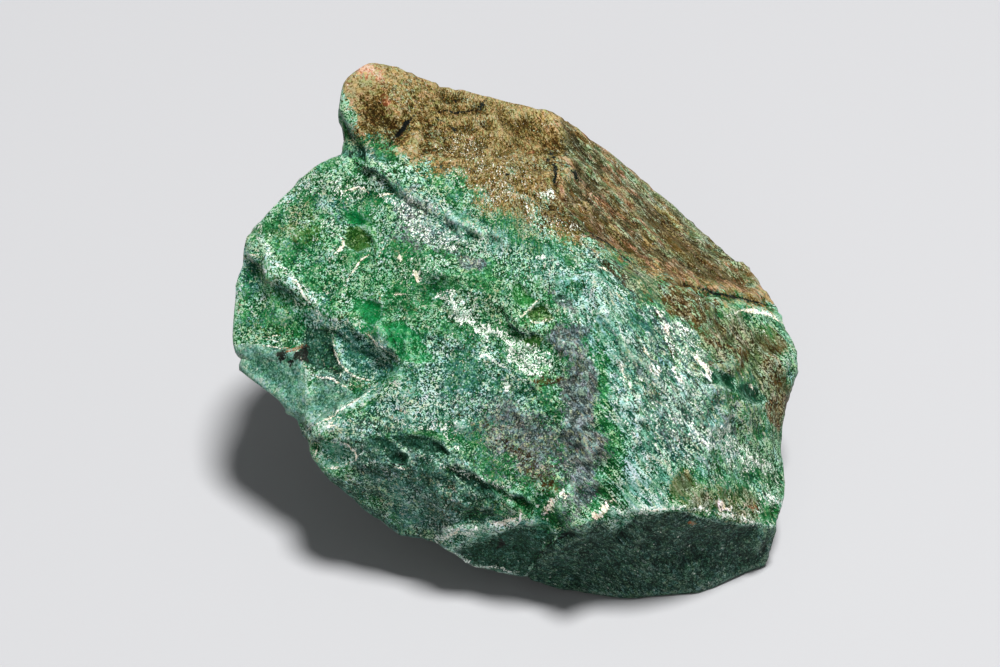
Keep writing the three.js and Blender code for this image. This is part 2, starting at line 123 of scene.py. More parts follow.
FACETS = {  # small broken faces, each of one mineral: corners, mineral, coverage, depth (0 for a soft stain)
    "emerald": ([(-22.5, 17.7), (-20.4, 17.7), (-18.9, 16.3), (-17.8, 15.2), (-21.9, 15.6)], "emerald", 1,
        0.25),
    "bright leaf": ([(-19, 16.3), (-17.4, 14.8), (-17.1, 11.8), (-18, 11.1), (-18.4, 13.3), (-19.1, 15.2)],
        "leaf", 0.9, -0.1),
    "olive": ([(-21.9, 15.3), (-19.7, 15.2), (-18.2, 13.5), (-18.4, 12.2), (-20.4, 11.5), (-22.3, 12.6)],
        "olive", 0.9, 0.25),
    "cheek": ([(-38.6, -1.8), (-35.1, -1.5), (-31.9, -1.9), (-28.7, -2.4), (-27.8, -4.7), (-27.6, -8.4),
        (-27.2, -12.3), (-29.4, -13), (-34, -9.4), (-39, -5)], "cheek", 1, 0.1),
    "hollow": ([(-27.6, 1.3), (-24.2, 0.6), (-23.4, -2.4), (-21.9, -5.4), (-23.1, -6.2), (-27.2, -4.7),
        (-28.7, -2.1)], "deep", 0.75, 0.15),
    "shell": ([(-23.8, 0.8), (-22.3, 1.3), (-18.9, -0.9), (-15.6, -4.3), (-13.7, -5.1), (-15.9, -6.2),
        (-19.7, -6.6), (-21.9, -5.1), (-23.4, -2.4)], "teal", 0.75, 0.02),
    "keel side": ([(-26.8, -6.4), (-22.4, -7.4), (-20.5, -8.8), (-23.2, -11.2), (-26.4, -13.3),
        (-27.6, -12.3)], "cheek", 0.9, 0.1),
    "lens": ([(-25.6, -15.5), (-23.6, -15.1), (-21.8, -15.9), (-20.5, -17.5), (-21.1, -18.5),
        (-22.8, -19.1), (-24.8, -19.1), (-25.8, -17.5)], "mint", 0.9, 0.03),
    # Painted shade: these two dark facets face down beneath a jutting edge, and their dark green stands for
    # the shade there, over a slight sink.
    "pocket": ([(-18.1, -14.7), (-16.1, -14.7), (-14.1, -16.3), (-12.9, -17.5), (-13.3, -18.9),
        (-15.3, -18.7), (-16.5, -17.1)], "deep", 0.95, 0.15),
    "painted_overhang_shade": ([(-16.1, -14.5), (-12.9, -14.4), (-10.6, -14.7), (-7.8, -16.1), (-6.2, -17.5), (-8.6, -17.2),
        (-11.3, -16.9), (-14.1, -16.3)], "deep", 0.9, 0.2),
    "gully": ([(-6.6, -17.9), (-4.6, -19.5), (-2.2, -21.1), (0.1, -23.1), (-1.4, -23.9), (-4.6, -21.9),
        (-7, -19.5)], "deep", 0.85, 0.12),
    "toe": ([(-6.4, -31), (-2.1, -29.8), (0, -28.2), (2.9, -27.6), (6.4, -28.1), (8.6, -28.5), (6.4, -30.6),
        (5, -32.5), (3.6, -34.6), (0, -34), (-4.3, -32.8)], "deep", 0.9, 0.2),
    "toe shoulder": ([(-8.2, -29.6), (-7.1, -31), (-4.7, -29.9), (-2.1, -29.4), (-0.7, -27.9),
        (-4.3, -27.2), (-6, -27.1)], "mint", 0.75, -0.1),
    "leaf": ([(1.6, 6.9), (2.9, 7.3), (4.3, 5.5), (5.5, 4.6), (4.3, 3.4), (2.9, 3.7), (1.8, 5.1)],
        "leaf", 0.95, 0.25),
    "dark olive": ([(4.3, 3.4), (6.1, 4.1), (7.5, 3), (7.9, 1.9), (6.4, 1.4), (4.6, 1.7), (3.8, 2.5)],
        "olive", 1, 0.35),
    "low olive": ([(2.9, -0.9), (5, 0.1), (6.4, -0.6), (5.7, -2), (3.6, -2)], "olive", 0.8, 0.15),
    "thorn": ([(7.5, 5.5), (9.6, 5.7), (9.3, 4.6), (7.9, 4.8)], "deep", 1, 0.2),
    "green": ([(-16.8, 1.6), (-13.8, 2), (-10.4, -1.6), (-9, -4.2), (-11.8, -4.6), (-14.2, -3.7),
        (-15.9, -1)], "emerald", 0.72, 0.12),
    "green lens": ([(-21.2, 5.5), (-18.9, 5.1), (-16.9, 4.3), (-16.9, 2.1), (-18.2, 0.9), (-19.7, 1.7),
        (-21, 3.6)], "emerald", 0.7, 0.2),
    "gem": ([(-6.4, -12.3), (-4.6, -12.3), (-4.3, -13.4), (-5.7, -14.1), (-6.6, -13.4)], "mint", 1, -0.3),
    "mauve": ([(8.6, -20.6), (12.8, -20.5), (13.1, -23.8), (12.1, -25.9), (10, -26.9), (8.6, -24.5)],
        "slate", 0.85, 0),
    "strip": ([(12.8, 1), (14.4, 0.4), (15.8, -5), (17.2, -10), (17.8, -16), (17.4, -21), (16.2, -24.2),
        (14.2, -23.8), (14.7, -19), (14.5, -13), (13.6, -8), (12.8, -4)], "leaf", 0.42, 0),
    "brown": ([(22.5, 7.8), (27.1, 6.6), (30.3, 4.9), (31.1, 2.4), (28.7, 0.9), (31.8, -0.6), (35.1, -2.5),
        (36, -5.3), (34.1, -6.2), (32.4, -4.4), (29.5, -2.6), (26.8, -0.9), (25, 1.4), (22.6, 3)], "umber",
        0.7, 0),
    "block": ([(18, -19.9), (22.4, -19.5), (22.8, -20.8), (23.7, -23.6), (24.4, -24.9), (22.1, -25.5),
        (20, -25.5), (18.3, -25.5)], "mint", 0.9, -0.2),
    "tooth": ([(14.9, -24.2), (18.2, -25.3), (18.7, -26.6), (17, -28.2), (15.5, -27)], "mint", 0.7, -0.2),
    "first pool": ([(30, -5.4), (31.8, -5.4), (33.4, -6.6), (33.7, -8.4), (32.1, -7.9), (30.1, -6.8)],
        "pool", 0.85, 0.16),
    "second pool": ([(33.6, -7.7), (35.3, -6.9), (37.1, -8.1), (38.2, -9.6), (36.8, -10.1), (34.4, -9.6)],
        "pool", 0.85, 0.2),
    # Painted shade: this dark patch under the knob's ledge stands for the shade there; it has no relief of
    # its own.
    "ledge": ([(-22.3, 28.2), (-20.3, 27.7), (-17.8, 26.6), (-16.6, 24.8), (-15.7, 22.3), (-17.8, 24.1),
        (-21.1, 24.4), (-22.5, 26.2)], "deep", 0.8, 0),
    # Painted shade: the bottom face is painted dark green, partly its own darker green and partly the shade
    # of a face turned down.
    "bottle_green_and_painted_shade": ([(5.1, -32.5), (6.5, -30.7), (8.6, -28.7), (10.4, -27.6), (12.6, -27), (14.9, -26.5),
        (15.1, -27.4), (16.1, -28.3), (17.9, -27.6), (18.8, -26.6), (19.8, -25.8), (22, -25.9), (24.3, -25.2),
        (26.9, -25.6), (29.2, -26.4), (31.4, -27.1), (34.7, -27.2), (39.2, -27.4), (46, -27.2), (46, -42),
        (1, -42), (3.6, -35.4)], "bottle_green_and_painted_shade", 1, 0.02),
}
SWELLS = [  # where the stone is fuller than its CAD solid: x, y, half length, half width, turn, rise
    (-0.5, -33.4, 12, 3.4, -12, 1), (12, -36.6, 9, 3, -4, 0.6), (-19.4, 37.4, 6, 4.6, 20, 0.5),
    (38.6, 5, 7, 2.4, -52, 0.5), (38.6, -28.4, 7, 3, 75, 0.4), (-37.4, -3.4, 2.2, 1.8, 0, 1),
    (-28.8, -13, 2.4, 1.5, -50, -0.5),
]
PLUMP = 0.3  # mm: what the evening-out takes off the skin is put back
SCOOPS = ((9, 0.3, 3), (3.6, 0.36, 19), (1.6, 0.32, 43))  # how wide the breaks are, how deep for that, seed
BOWL = 0.7  # how much of a scoop is bowl, against the tilt it has
LUMP_RISE, LUMP_SIZE = 0.14, 4.2  # soft lumps all over
CRUST_RISE, CRUST_SIZE = 0.2, 1.8  # the rind's bumps
GROOVE_RISE, GROOVE_SIZE = 0.3, 2.2  # the flank's stripes
FACET_SOFTNESS = (-0.15, 0.5)  # how far inside its outline a crisp facet begins, and where it is whole

# ---- paint: where each mineral lies

RIND_BORDER = [  # the brown rind lies on its left, which is above it
    (-27, 30.5), (-22, 28.3), (-19.6, 27.8), (-17, 26.8), (-15.6, 26.6), (-13.7, 25.1), (-11.6, 24.3),
    (-10, 24), (-7, 22.8), (-5.1, 22), (-3.9, 19.5), (-0.4, 17.7), (4.3, 15.8), (8.6, 13.8), (12.5, 12.4),
    (18.5, 9.5), (22.5, 8), (30.1, 6), (38, 4), (48, 2),
]

BLOTS = {}  # soft ovals: x, y, half length, half width, turn in degrees, coverage
BLOTS["mint"] = [
    (-11, -10.4, 6.5, 3.6, -15, 0.56), (-5, -5, 8, 4, -30, 0.25), (-12, 17.6, 7, 2.2, -30, 0.6),
    (-8, 13.6, 7, 1.6, -26, 0.4), (14.4, 1.6, 9, 4.6, -72, 0.64), (20.6, -19.6, 4.4, 5.4, 0, 0.75),
    (-5, 15.2, 6.5, 1.9, -26, 0.9), (27.6, -12, 8, 4.4, -55, 0.56), (20.4, -11.5, 5, 2.6, -75, 0.45),
    (-24.6, -9.6, 2, 3.4, 10, 0.6), (-24.6, -13, 2.6, 1, 24, 0.9), (-3, -28.2, 5, 0.8, -6, 0.75),
    (-6.4, -29.8, 1.8, 0.9, 30, 0.8), (2, -11.3, 1.2, 0.9, 0, 0.8), (3.4, -12.6, 2.4, 1.2, -30, 0.5),
    (-19.8, 3.4, 2.8, 1.8, -50, 0.4), (-30, 19.8, 4, 1, 28, 0.6), (-30.4, 5, 1.4, 5, 38, 0.45),
    (-17.6, 24.8, 3.4, 0.8, -24, 0.6), (-14.6, -23.3, 3, 1.8, -40, 0.5), (-18, -13.6, 2.4, 0.8, -10, 0.6),
]
BLOTS["teal"] = [
    (-24.1, 18.6, 2.6, 1.8, -20, 0.7), (-35.3, 8.4, 1.8, 3, 0, 0.6), (-25.3, 5.6, 1.6, 1.8, -50, 0.6),
    (-17.4, -2, 3.4, 1.2, -42, 0.8), (-21, 35.8, 0.5, 1.4, 0, 0.9), (29.9, 12.7, 2.4, 1, -45, 0.7),
    (19.8, 21.6, 2.6, 0.9, -35, 0.7), (-13.2, -23.8, 4.6, 2.8, -38, 0.7), (-7.4, 21, 6, 1.1, -30, 0.4),
    (-4, -8, 14, 7, -28, 0.56), (-12, -11, 6, 3, -10, 0.7), (-12.6, 20.6, 2.2, 1.3, -30, 0.7),
    (22, -8, 11, 15, 30, 0.55), (4, 12, 10, 3, -30, 0.4),
]
BLOTS["slate"] = [
    (9.6, -1, 3.4, 2.1, -58, 0.9), (11, -8, 5, 2.7, -76, 0.95), (11.6, -15, 7, 3.1, -86, 1),
    (11.4, -21, 3.4, 2.8, -80, 0.8), (-13.2, 13.9, 3.6, 1.2, -24, 0.6), (-8.8, 12.6, 3.4, 0.9, -20, 0.5),
    (-3.5, 10, 2.2, 1, -20, 0.75), (8.8, 4.9, 2.6, 0.8, -40, 0.7), (9.6, -17.5, 6, 3, -80, 0.55),
    (3, -15, 7, 5.4, -32, 0.72), (28, -8, 10, 14, 30, 0.36), (-5, -10, 5, 2, -20, 0.36),
    (-12.6, 21, 1.8, 1, -30, 0.5), (-11, 15.6, 6, 2.2, -28, 0.55),
]
BLOTS["emerald"] = [
    (-22, 7, 17, 12, 20, 0.36), (-28.5, 11.4, 6, 4, 35, 0.45), (-17.8, 1.1, 2.4, 1, -20, 0.9),
    (-15.3, -0.8, 1.5, 2.2, 20, 0.85), (7.6, 6.4, 2.4, 1.2, -30, 0.5), (14, -5.6, 4.4, 1.2, -66, 0.7),
    (13.6, -24.4, 2.6, 0.9, -85, 0.75), (-19.2, 26.6, 2.6, 0.9, -30, 0.7), (-4.5, -25.8, 3, 1.2, -30, 0.4),
]
BLOTS["leaf"] = [
    (-28.4, 15, 4.6, 2.4, 20, 0.6), (-32, 5.6, 2.2, 5, 20, 0.6), (-30, 10, 4, 5, 30, 0.36),
    (-24, 9, 14, 10, 20, 0.3), (6.4, 7.6, 2.2, 1, -30, 0.6), (-8.4, 21.4, 1.4, 0.9, 0, 1),
    (5.4, 1.6, 2.6, 2, 0, 0.5), (18.5, -11.6, 2, 5, 10, 0.5), (16.8, -16, 7, 1.2, -88, 0.5),
    (-19, -12.9, 0.8, 0.8, 0, 0.8), (29.5, -24, 6, 2.4, -12, 0.45), (-1, 4, 8, 3, -30, 0.3),
]
BLOTS["olive"] = [
    (31, -6, 8, 12, 30, 0.42), (-28.7, 15.6, 3.6, 1.6, 20, 0.65), (-31.5, 12.6, 2.5, 3, 0, 0.35),
    (20.5, -11, 2, 1.4, -30, 0.5), (25.8, -22.6, 3, 2.8, -20, 0.8), (30.5, -24, 4.6, 2, -16, 0.6),
    (38, -1.4, 2.6, 3, 0, 0.6), (-33, 0.4, 4, 0.9, -10, 0.5), (-1, 19.5, 4, 1.6, -30, 0.45),
]
BLOTS["khaki"] = [
    (-21, 27.6, 1.6, 1.4, 10, 0.5), (26.4, -22.8, 4, 2.6, -20, 0.72), (33, -24.4, 5, 2, -16, 0.62),
    (39, -6, 2.4, 7, 5, 0.75), (33, -1, 6, 5, -50, 0.6), (21.6, 6.2, 6, 1.6, -40, 0.5),
    (2, 16, 6, 1.4, -28, 0.4), (2, -16, 8, 4, -35, 0.32), (-29, 16.6, 2.6, 1, 25, 0.4),
]
BLOTS["umber"] = [
    (7.3, -7.4, 2.6, 1, -5, 0.6), (7.6, -6.8, 4, 1.8, -20, 0.34), (27.6, 2.4, 7.5, 2, -46, 0.64),
    (31.6, -2.4, 3.6, 1.6, -60, 0.66), (34.4, -1, 5, 3, -70, 0.46), (39.4, -4, 2, 5, 5, 0.56),
    (25.6, 4.6, 6, 1.6, -40, 0.5), (17.4, 8.4, 6, 1.2, -36, 0.5), (7.9, 17.4, 3.4, 2, -50, 0.55),
    (-9, 27, 6, 2, -30, 0.36), (-17.4, 28.6, 4, 1.2, -30, 0.42), (13, 15.4, 4.4, 1, -44, 0.5),
    (39.4, -11, 1.4, 3, 10, 0.7), (27.6, -22.4, 2.4, 1, -40, 0.4), (36.6, -24.6, 2.4, 1.6, -40, 0.45),
    (0, -14.6, 5, 2, -30, 0.4), (4, -18, 7, 2.6, -40, 0.42), (6, -21, 3, 1.6, -40, 0.5),
    (24.6, -0.5, 3, 1, -40, 0.4),
]
BLOTS["rust"] = [
    (12.5, 16, 5, 1.6, -42, 0.45), (26.6, 7.6, 4, 1.1, -24, 0.5),
]
BLOTS["ochre"] = [
    (-18.7, 37.4, 2, 0.9, -10, 0.85), (-15.8, 33.1, 1.1, 0.8, -20, 0.85), (-29.8, -2.1, 1.7, 0.5, 0, 0.7),
    (27.4, -27.2, 0.4, 0.3, 0, 0.8), (36, -24.9, 0.8, 0.6, -60, 0.5), (-4.6, 27.7, 0.6, 0.4, 0, 0.6),
    (4.3, 26.3, 0.8, 0.4, 0, 0.6),
]
BLOTS["spray"] = [  # where more of the grains are white
    (-13.4, 17.6, 6, 1.5, -32, 0.62), (-9, 14.6, 6, 1.8, -28, 0.5), (-24.4, 15.6, 1.3, 0.9, 0, 0.6),
    (-11.8, 9.4, 3, 2.6, -40, 0.35), (-27, 20, 5, 1.6, 24, 0.34), (-21, 20.6, 3.4, 1, -20, 0.5),
    (7, 19.8, 1, 0.8, -50, 1), (-2, 24.4, 7, 2.2, -22, 0.34), (24.6, -11.6, 2.6, 1.2, -20, 0.5),
    (38.4, -24.6, 1.4, 1.4, 0, 0.6), (-1.6, 18.8, 0.7, 0.4, 0, 0.8), (0.6, -7.7, 0.8, 0.8, 0, 1),
    (24.4, -6, 3, 1.2, -20, 0.5), (24, -12, 8, 4.5, -60, 0.35), (39, -23.6, 1.1, 0.8, 0, 0.9),
    (-6, -13, 1.8, 1, 0, 0.5), (-3, 0, 9, 5, -40, 0.2), (6.7, 19.7, 0.9, 0.7, 0, 0.9),
    (2, 18.6, 4, 1.4, -25, 0.4), (6, 11, 0.5, 0.5, 0, 0.9), (-33.9, 9, 0.5, 0.4, 0, 1),
]
BLOTS["black_spots_and_painted_crack_shade"] = [
    (-31.6, -3.2, 1.2, 0.8, -35, 0.85), (-28.2, -3, 0.8, 1.1, 10, 0.8), (-29.4, -4.1, 0.5, 0.4, 0, 0.9),
    (-27.5, -3.6, 0.4, 0.8, 0, 0.95), (-0.1, -29.9, 0.5, 0.7, 10, 0.8), (38, -22.9, 0.3, 0.5, 0, 0.9),
    (-8, 34.1, 0.5, 0.3, 0, 0.8), (-6.1, 33.4, 0.5, 0.3, 0, 0.8), (-8.6, 30.3, 0.25, 0.25, 0, 1),
    (-6.6, 29.2, 0.3, 0.2, 0, 1), (1.3, 22.3, 0.4, 0.3, 0, 1), (7.5, 25, 0.5, 0.3, 0, 1),
    (10.7, 22.8, 0.9, 0.4, -50, 1),
]
BLOTS["bare"] = [  # where the rind is worn through
    (-22.6, 32, 1.7, 6, 8, 0.9), (-21.6, 28.4, 1.4, 1.6, 10, 0.7), (-4, 20.6, 4, 1, -30, 0.4),
    (5, 17.6, 4, 1.2, -30, 0.45), (-17, 27.4, 2.4, 0.8, -20, 0.5), (15, 12.4, 4, 1, -30, 0.5),
    (2, 23, 0.9, 0.6, 0, 0.6),
]
BLOTS["deep"] = [
    (-24.6, -4, 3.6, 2.2, -60, 0.9), (16, 9, 9, 1.8, -34, 0.6), (24, 3.4, 4, 1.6, -40, 0.5),
    # Painted shade: the two blots on this line paint the lower left's shade in the dark green of deep.
    (-13, -20.6, 13, 6, -40, 0.8), (-4, -22, 6, 3, -40, 0.7),
]

STREAKS = {}  # soft bands: points, half width, coverage
STREAKS["spray"] = [
    ([(12, 5), (16.6, -1), (20, -18)], 2.2, 0.22),
    ([(-7.9, 4.9), (-3.8, 1.8), (1.9, -0.1), (4.1, -2.7), (5.7, -5.2)], 1, 0.66),
    ([(-7.2, 5), (-4.8, 2.4), (-2.4, -0.6)], 0.6, 0.96),
    ([(-2, 1.4), (0.2, 0.2), (3.2, -3.8), (5.4, -5.4)], 0.6, 0.96),
    ([(-2.2, -2.7), (0.3, -5.2)], 0.35, 0.95), ([(23, 2.4), (26.1, -0.7), (30, -7)], 1.3, 0.5),
    ([(29.5, -13), (31.5, -15), (39, -20.3)], 1.5, 0.6), ([(18.5, -6), (26, -17)], 1.5, 0.4),
    ([(-34.6, 15.4), (-33.4, 11.9), (-32.1, 10.2), (-30, 8.4)], 0.4, 0.6),
    ([(-30, 8.4), (-26.8, 4.8), (-25.6, 2.6)], 0.5, 0.5),
    ([(-6.8, -31.4), (-4.1, -32.6), (-0.3, -33.8), (2.6, -34.4)], 0.3, 0.8),
    ([(-8.4, -29.2), (-5.9, -27.2), (-4.4, -26.8)], 0.25, 0.8),
    ([(-8.6, -29.6), (-6.4, -28.6), (-3.4, -27.9)], 0.5, 0.9),
    ([(-1.4, -27.2), (0.6, -27.3), (2.6, -26.4)], 0.5, 0.95),
    ([(-15.4, -13.2), (-11, -13.2), (-8, -14.2), (-6, -16.2)], 0.35, 0.7),
    ([(-9, -18.1), (-7.4, -19.4), (-4.3, -19.8), (-2.4, -21), (0.6, -22.4)], 0.35, 0.6),
    ([(17, -25.4), (21, -25), (25, -24.9), (29, -25.3), (35, -26.4), (39, -27.4)], 0.35, 0.8),
    ([(-6.8, 22.6), (12, 13.4)], 1, 0.35),
]
STREAKS["emerald"] = [
    ([(13, -2), (15, -6.5), (16.4, -11), (16.6, -18), (15.8, -23)], 1.1, 0.6),
]
STREAKS["mint"] = [
    ([(16.8, -2), (19.8, -20)], 2.2, 0.66),
    ([(6.3, 10), (11, 7.6), (15, 4.8), (17, 0.4), (18.4, -6)], 1.6, 0.7), (STEPS["scar"][0], 0.6, 0.5),
    ([(-7, -31.4), (-4.1, -32.6), (-0.3, -33.8), (2.6, -34.4)], 0.5, 0.8), (STEPS["flute"][0], 1.1, 1),
    (RIDGES["toe"][0], 0.7, 0.9), (RIDGES["keel"][0], 0.5, 0.8),
]
STREAKS["teal"] = [
    ([(-24.4, -1), (-23, -4), (-20.6, -6)], 0.8, 0.8), ([(-22.6, 1.2), (-15.6, -3.6)], 0.7, 0.7),
]
STREAKS["cream"] = [
    ([(23.2, 1.8), (25, -1.2)], 0.6, 0.5), ([(28, -3.4), (29.2, -5), (30.1, -7)], 0.4, 0.56),
    ([(21.6, -4.4), (23, -5.6)], 0.4, 0.5), ([(24.8, -5.4), (25.8, -6.6)], 0.5, 0.6),
    ([(13.8, -25.6), (16.2, -24.6)], 0.4, 0.9), ([(6.4, -25.6), (7.6, -23.9), (9.2, -22.9)], 0.5, 0.6),
    ([(31.7, -24.5), (33.1, -25.7)], 0.4, 0.8), ([(-1, -27.3), (0.7, -27.1), (3, -26.1)], 0.24, 0.8),
    ([(-12.2, 8.9), (-11.4, 7.6)], 0.4, 0.8),
]
STREAKS["rust"] = [
    ([(8.6, 21.5), (10.4, 17.9), (11.4, 16.6), (15.4, 13.6), (18.6, 12.2), (21.4, 10.1)], 0.8, 0.65),
    ([(14.6, 19.3), (19, 14.8), (21.6, 13)], 0.8, 0.6), ([(24, 9.4), (32.8, 6.8), (37.5, 6.2)], 0.9, 0.6),
]
STREAKS["bare"] = [
    ([(24, 18.4), (32.4, 10.9), (36.4, 7.6)], 0.5, 0.6), ([(9.4, 24), (10.6, 22), (12.4, 19.6)], 0.5, 0.5),
]
STREAKS["khaki"] = [
    ([(13.1, 26.5), (21, 19.5)], 1, 0.8), ([(21, 21), (36.4, 7.6)], 0.9, 0.8),
]

LINES = {}  # crisp lines, dark slit lines painted as the shade in cracks, creases and under the ledge's lip, and bright veins: points, half width
LINES["slit"] = [
    (CRACKS["knob slit"][0], 0.42), ([(-17.6, 26.2), (-16.4, 26.6), (-15, 28)], 0.13),
    ([(-2.2, 33.6), (-2.7, 32.4), (-3.6, 31.6)], 0.29),
    ([(7.2, 25), (8, 23.4), (7.6, 21.6), (8.2, 20.4)], 0.31), (CRACKS["crest crack"][0], 0.16),
    (STEPS["ledge"][0], 0.1), ([(-22.8, 15.5), (-21.1, 15.4), (-19.5, 15.7)], 0.08),
    ([(-12.8, -18.4), (-14.1, -18.8), (-15.4, -18.6), (-16.6, -17.4)], 0.08),
    (CRACKS["under the flank"][0], 0.22),
    ([(10, 17.2), (11.8, 15.2), (15.3, 12.8), (18.6, 10.1), (22, 8.6)], 0.13),
    ([(9.4, 24.4), (11.8, 21)], 0.18), (CRACKS["nose"][0], 0.11), ([(-9.4, 30.9), (-5.4, 28.4)], 0.08),
    ([(-16.6, 1), (-15.2, -0.8), (-14.4, -3)], 0.07),
]
LINES["vein"] = [
    ([(-30.5, 8.6), (-29.2, 7.3), (-26.6, 3.6)], 0.16), ([(-36, 11.3), (-34.8, 11.2)], 0.14),
    ([(-23, 13.9), (-22.4, 13.5), (-22.5, 12.3), (-24, 11.1)], 0.25),
    ([(-18.4, 12.1), (-18.7, 11.5), (-19.7, 10.7), (-20.6, 9.1), (-21.3, 8.4), (-22.4, 6.6)], 0.15),
    ([(-15.7, 13), (-17, 11.9), (-17.5, 10.6)], 0.08), ([(-22.2, 20.3), (-20, 21), (-18.7, 20.1)], 0.19),
    ([(-17, 19.7), (-15.4, 20)], 0.2), ([(-14.4, 11.6), (-14.1, 10)], 0.27),
    ([(-11.9, 8.6), (-11.6, 7.8)], 0.33), ([(-15.1, 5.6), (-13.8, 5.6)], 0.16), (STEPS["shell"][0], 0.1),
    ([(-20.2, 1.2), (-17.6, -1.4), (-14.2, -3.9)], 0.07), ([(-33.2, -0.5), (-31.7, -0.2)], 0.16),
    ([(-34.6, -1.5), (-30.7, -2)], 0.1), ([(-29, -2.6), (-28.2, -3.8), (-27.7, -4.8)], 0.11),
    ([(-27.1, -5.7), (-25.6, -6.3), (-24.3, -6.4), (-23.2, -6.9), (-22.1, -7.6)], 0.14),
    (RIDGES["keel"][0], 0.14), ([(-25.4, -13.5), (-23.6, -13.2)], 0.28), (RIDGES["lens"][0], 0.12),
    ([(-26.2, -17.4), (-25.9, -16.4)], 0.17), ([(-25, -19.2), (-22.9, -19.3)], 0.13),
    ([(-15.4, -18.8), (-14, -19.3), (-12.8, -18.9)], 0.13), ([(-8.2, -29.5), (-5, -27.6)], 0.16),
    ([(-1.4, -27), (0.3, -27.2), (2.8, -26.2)], 0.14), (RIDGES["apex"][0], 0.12),
    ([(3.5, 1.8), (5.7, 1.5), (7.9, 2.4)], 0.08), ([(14, 9.6), (15.6, 9)], 0.23),
    ([(15.9, 6.8), (16.8, 5.9), (17.5, 4.4)], 0.13), ([(20.2, -1.2), (21.7, -3.9)], 0.11),
    ([(17, -4.2), (18, -6.4), (19, -9)], 0.09), (RIDGES["white lip"][0], 0.3),
    ([(14.2, -25.2), (15.4, -25.1)], 0.18), ([(20.6, -25.3), (24.4, -25)], 0.11),
    # Painted highlight: the short line from (35.4, -7.2) to (36.1, -8.2) is a glint on the second pool, drawn
    # in the veins' cream.
    ([(35.4, -7.2), (36.1, -8.2)], 0.13), ([(-36.7, 16.7), (-36, 17), (-34.4, 15.4)], 0.12),
]

SPRINKLES = [  # minerals strewn thinly over the whole stone: which, how wide its drifts, seed, most coverage
    ("rust", 3.4, 103, 0.14), ("khaki", 4.6, 107, 0.24), ("umber", 3, 109, 0.2), ("teal", 4, 113, 0.3),
    ("leaf", 5, 127, 0.3), ("mint", 2.6, 131, 0.3),
]
HIDDEN_DRIFTS = [  # minerals on the sides that the marks above don't reach: which, how wide, seed, threshold
    ("mint", 8, 81, 0.1), ("slate", 7, 91, 0.15), ("olive", 6, 93, 0.15), ("umber", 5, 95, 0.3),
    ("spray", 4, 97, 0),
]

PAINTED_RIM_HIGHLIGHT = 0.12  # mm: half the width of the pale line painted as a highlight along a crisp facet's outline
FINE_MARKS = ("black_spots_and_painted_crack_shade", "cream", "ochre")  # they lie over a facet's own mineral
NARROW = 1  # mm: a blot whose smaller half size is under this wanders little from its place
WIDE = 0.6  # mm: a streak whose half width is under this wanders little from its route
CRISP_COVERS, SOFT_COVERS = 0.85, 0.5  # how much of the other minerals a facet hides
SURROUNDINGS = 12  # how many rings of neighbours a point's height is compared with

# ---- paint: what each mineral looks like

PALETTE = {  # four steps from its darkest grain to its brightest, as sRGB in 0 to 255
    "green": [(0, 56, 18), (10, 100, 46), (68, 144, 86), (184, 228, 194)],
    "mint": [(6, 72, 46), (70, 136, 106), (136, 190, 166), (218, 244, 232)],
    "teal": [(0, 60, 42), (40, 104, 84), (92, 150, 132), (190, 230, 218)],
    "slate": [(36, 52, 47), (78, 93, 89), (107, 123, 119), (160, 182, 176)],
    "emerald": [(0, 90, 36), (4, 126, 62), (58, 162, 100), (136, 206, 160)],
    "leaf": [(0, 80, 16), (36, 122, 50), (84, 160, 94), (170, 220, 176)],
    "olive": [(4, 58, 2), (44, 94, 30), (82, 126, 62), (154, 190, 132)],
    "khaki": [(48, 58, 26), (82, 96, 58), (112, 126, 88), (184, 196, 160)],
    "cheek": [(34, 84, 62), (86, 138, 114), (116, 166, 144), (178, 216, 196)],
    # Partly a darker green of its own and partly painted shade: it is also laid where the surface faces down,
    # on two facets beneath a jutting edge, under the knob's ledge and on the lower left.
    "deep": [(0, 36, 18), (22, 66, 46), (50, 96, 76), (104, 150, 132)],
    # Painted shade: the bottom face's dark green, partly its own darker green and partly the shade of a face
    # turned down.
    "bottle_green_and_painted_shade": [(0, 22, 13), (28, 60, 48), (58, 96, 78), (132, 168, 148)],
    "rind": [(44, 30, 0), (102, 82, 34), (140, 120, 68), (188, 170, 122)],
    # Partly painted shade: the right flank's darker brown rind, partly its own colour and partly the shade on
    # that side.
    "flank_rind_and_painted_shade": [(30, 28, 6), (64, 60, 30), (86, 80, 48), (130, 122, 90)],
    "rust": [(70, 46, 18), (112, 84, 50), (146, 114, 80), (196, 168, 138)],
    "umber": [(36, 24, 0), (78, 62, 20), (106, 88, 44), (154, 144, 104)],
    "ochre": [(104, 62, 32), (160, 104, 66), (204, 148, 112), (238, 204, 178)],
    # Black spots, and painted shade: the dark lines along cracks and creases are drawn in this colour too.
    "black_spots_and_painted_crack_shade": [(2, 6, 4), (10, 16, 12), (28, 34, 28), (60, 66, 56)],
    "chalk": [(176, 208, 180), (234, 242, 226), (250, 252, 244), (255, 255, 252)],
    "cream": [(206, 198, 168), (236, 228, 202), (248, 242, 224), (254, 253, 247)],
    "pool": [(0, 44, 22), (12, 74, 46), (44, 104, 74), (120, 168, 140)],
}
GROUND = "green"  # the mineral under all the others
EVEN = ("rind", "flank_rind_and_painted_shade", "rust", "ochre", "cheek", "bottle_green_and_painted_shade", "slate", "deep")  # of an even grain all over
BRIGHTEST = ("chalk", "cream")  # taken as they are, so that they stay white
EXPOSURE = 0.74  # what the others are multiplied by, because the studio's light makes them brighter


# ---- the skin

WELD = 0.01  # mm: points nearer than this are one
SPLITS = ((3, 25), (2, 12))  # for each split: how often the skin is evened out, how well edges resist it
STIFFEST = 0.7  # the share of the evening-out that a sharp edge resists
PULLS = (0.6, -0.3)  # towards the neighbours and part of the way back, so that the skin shrinks little


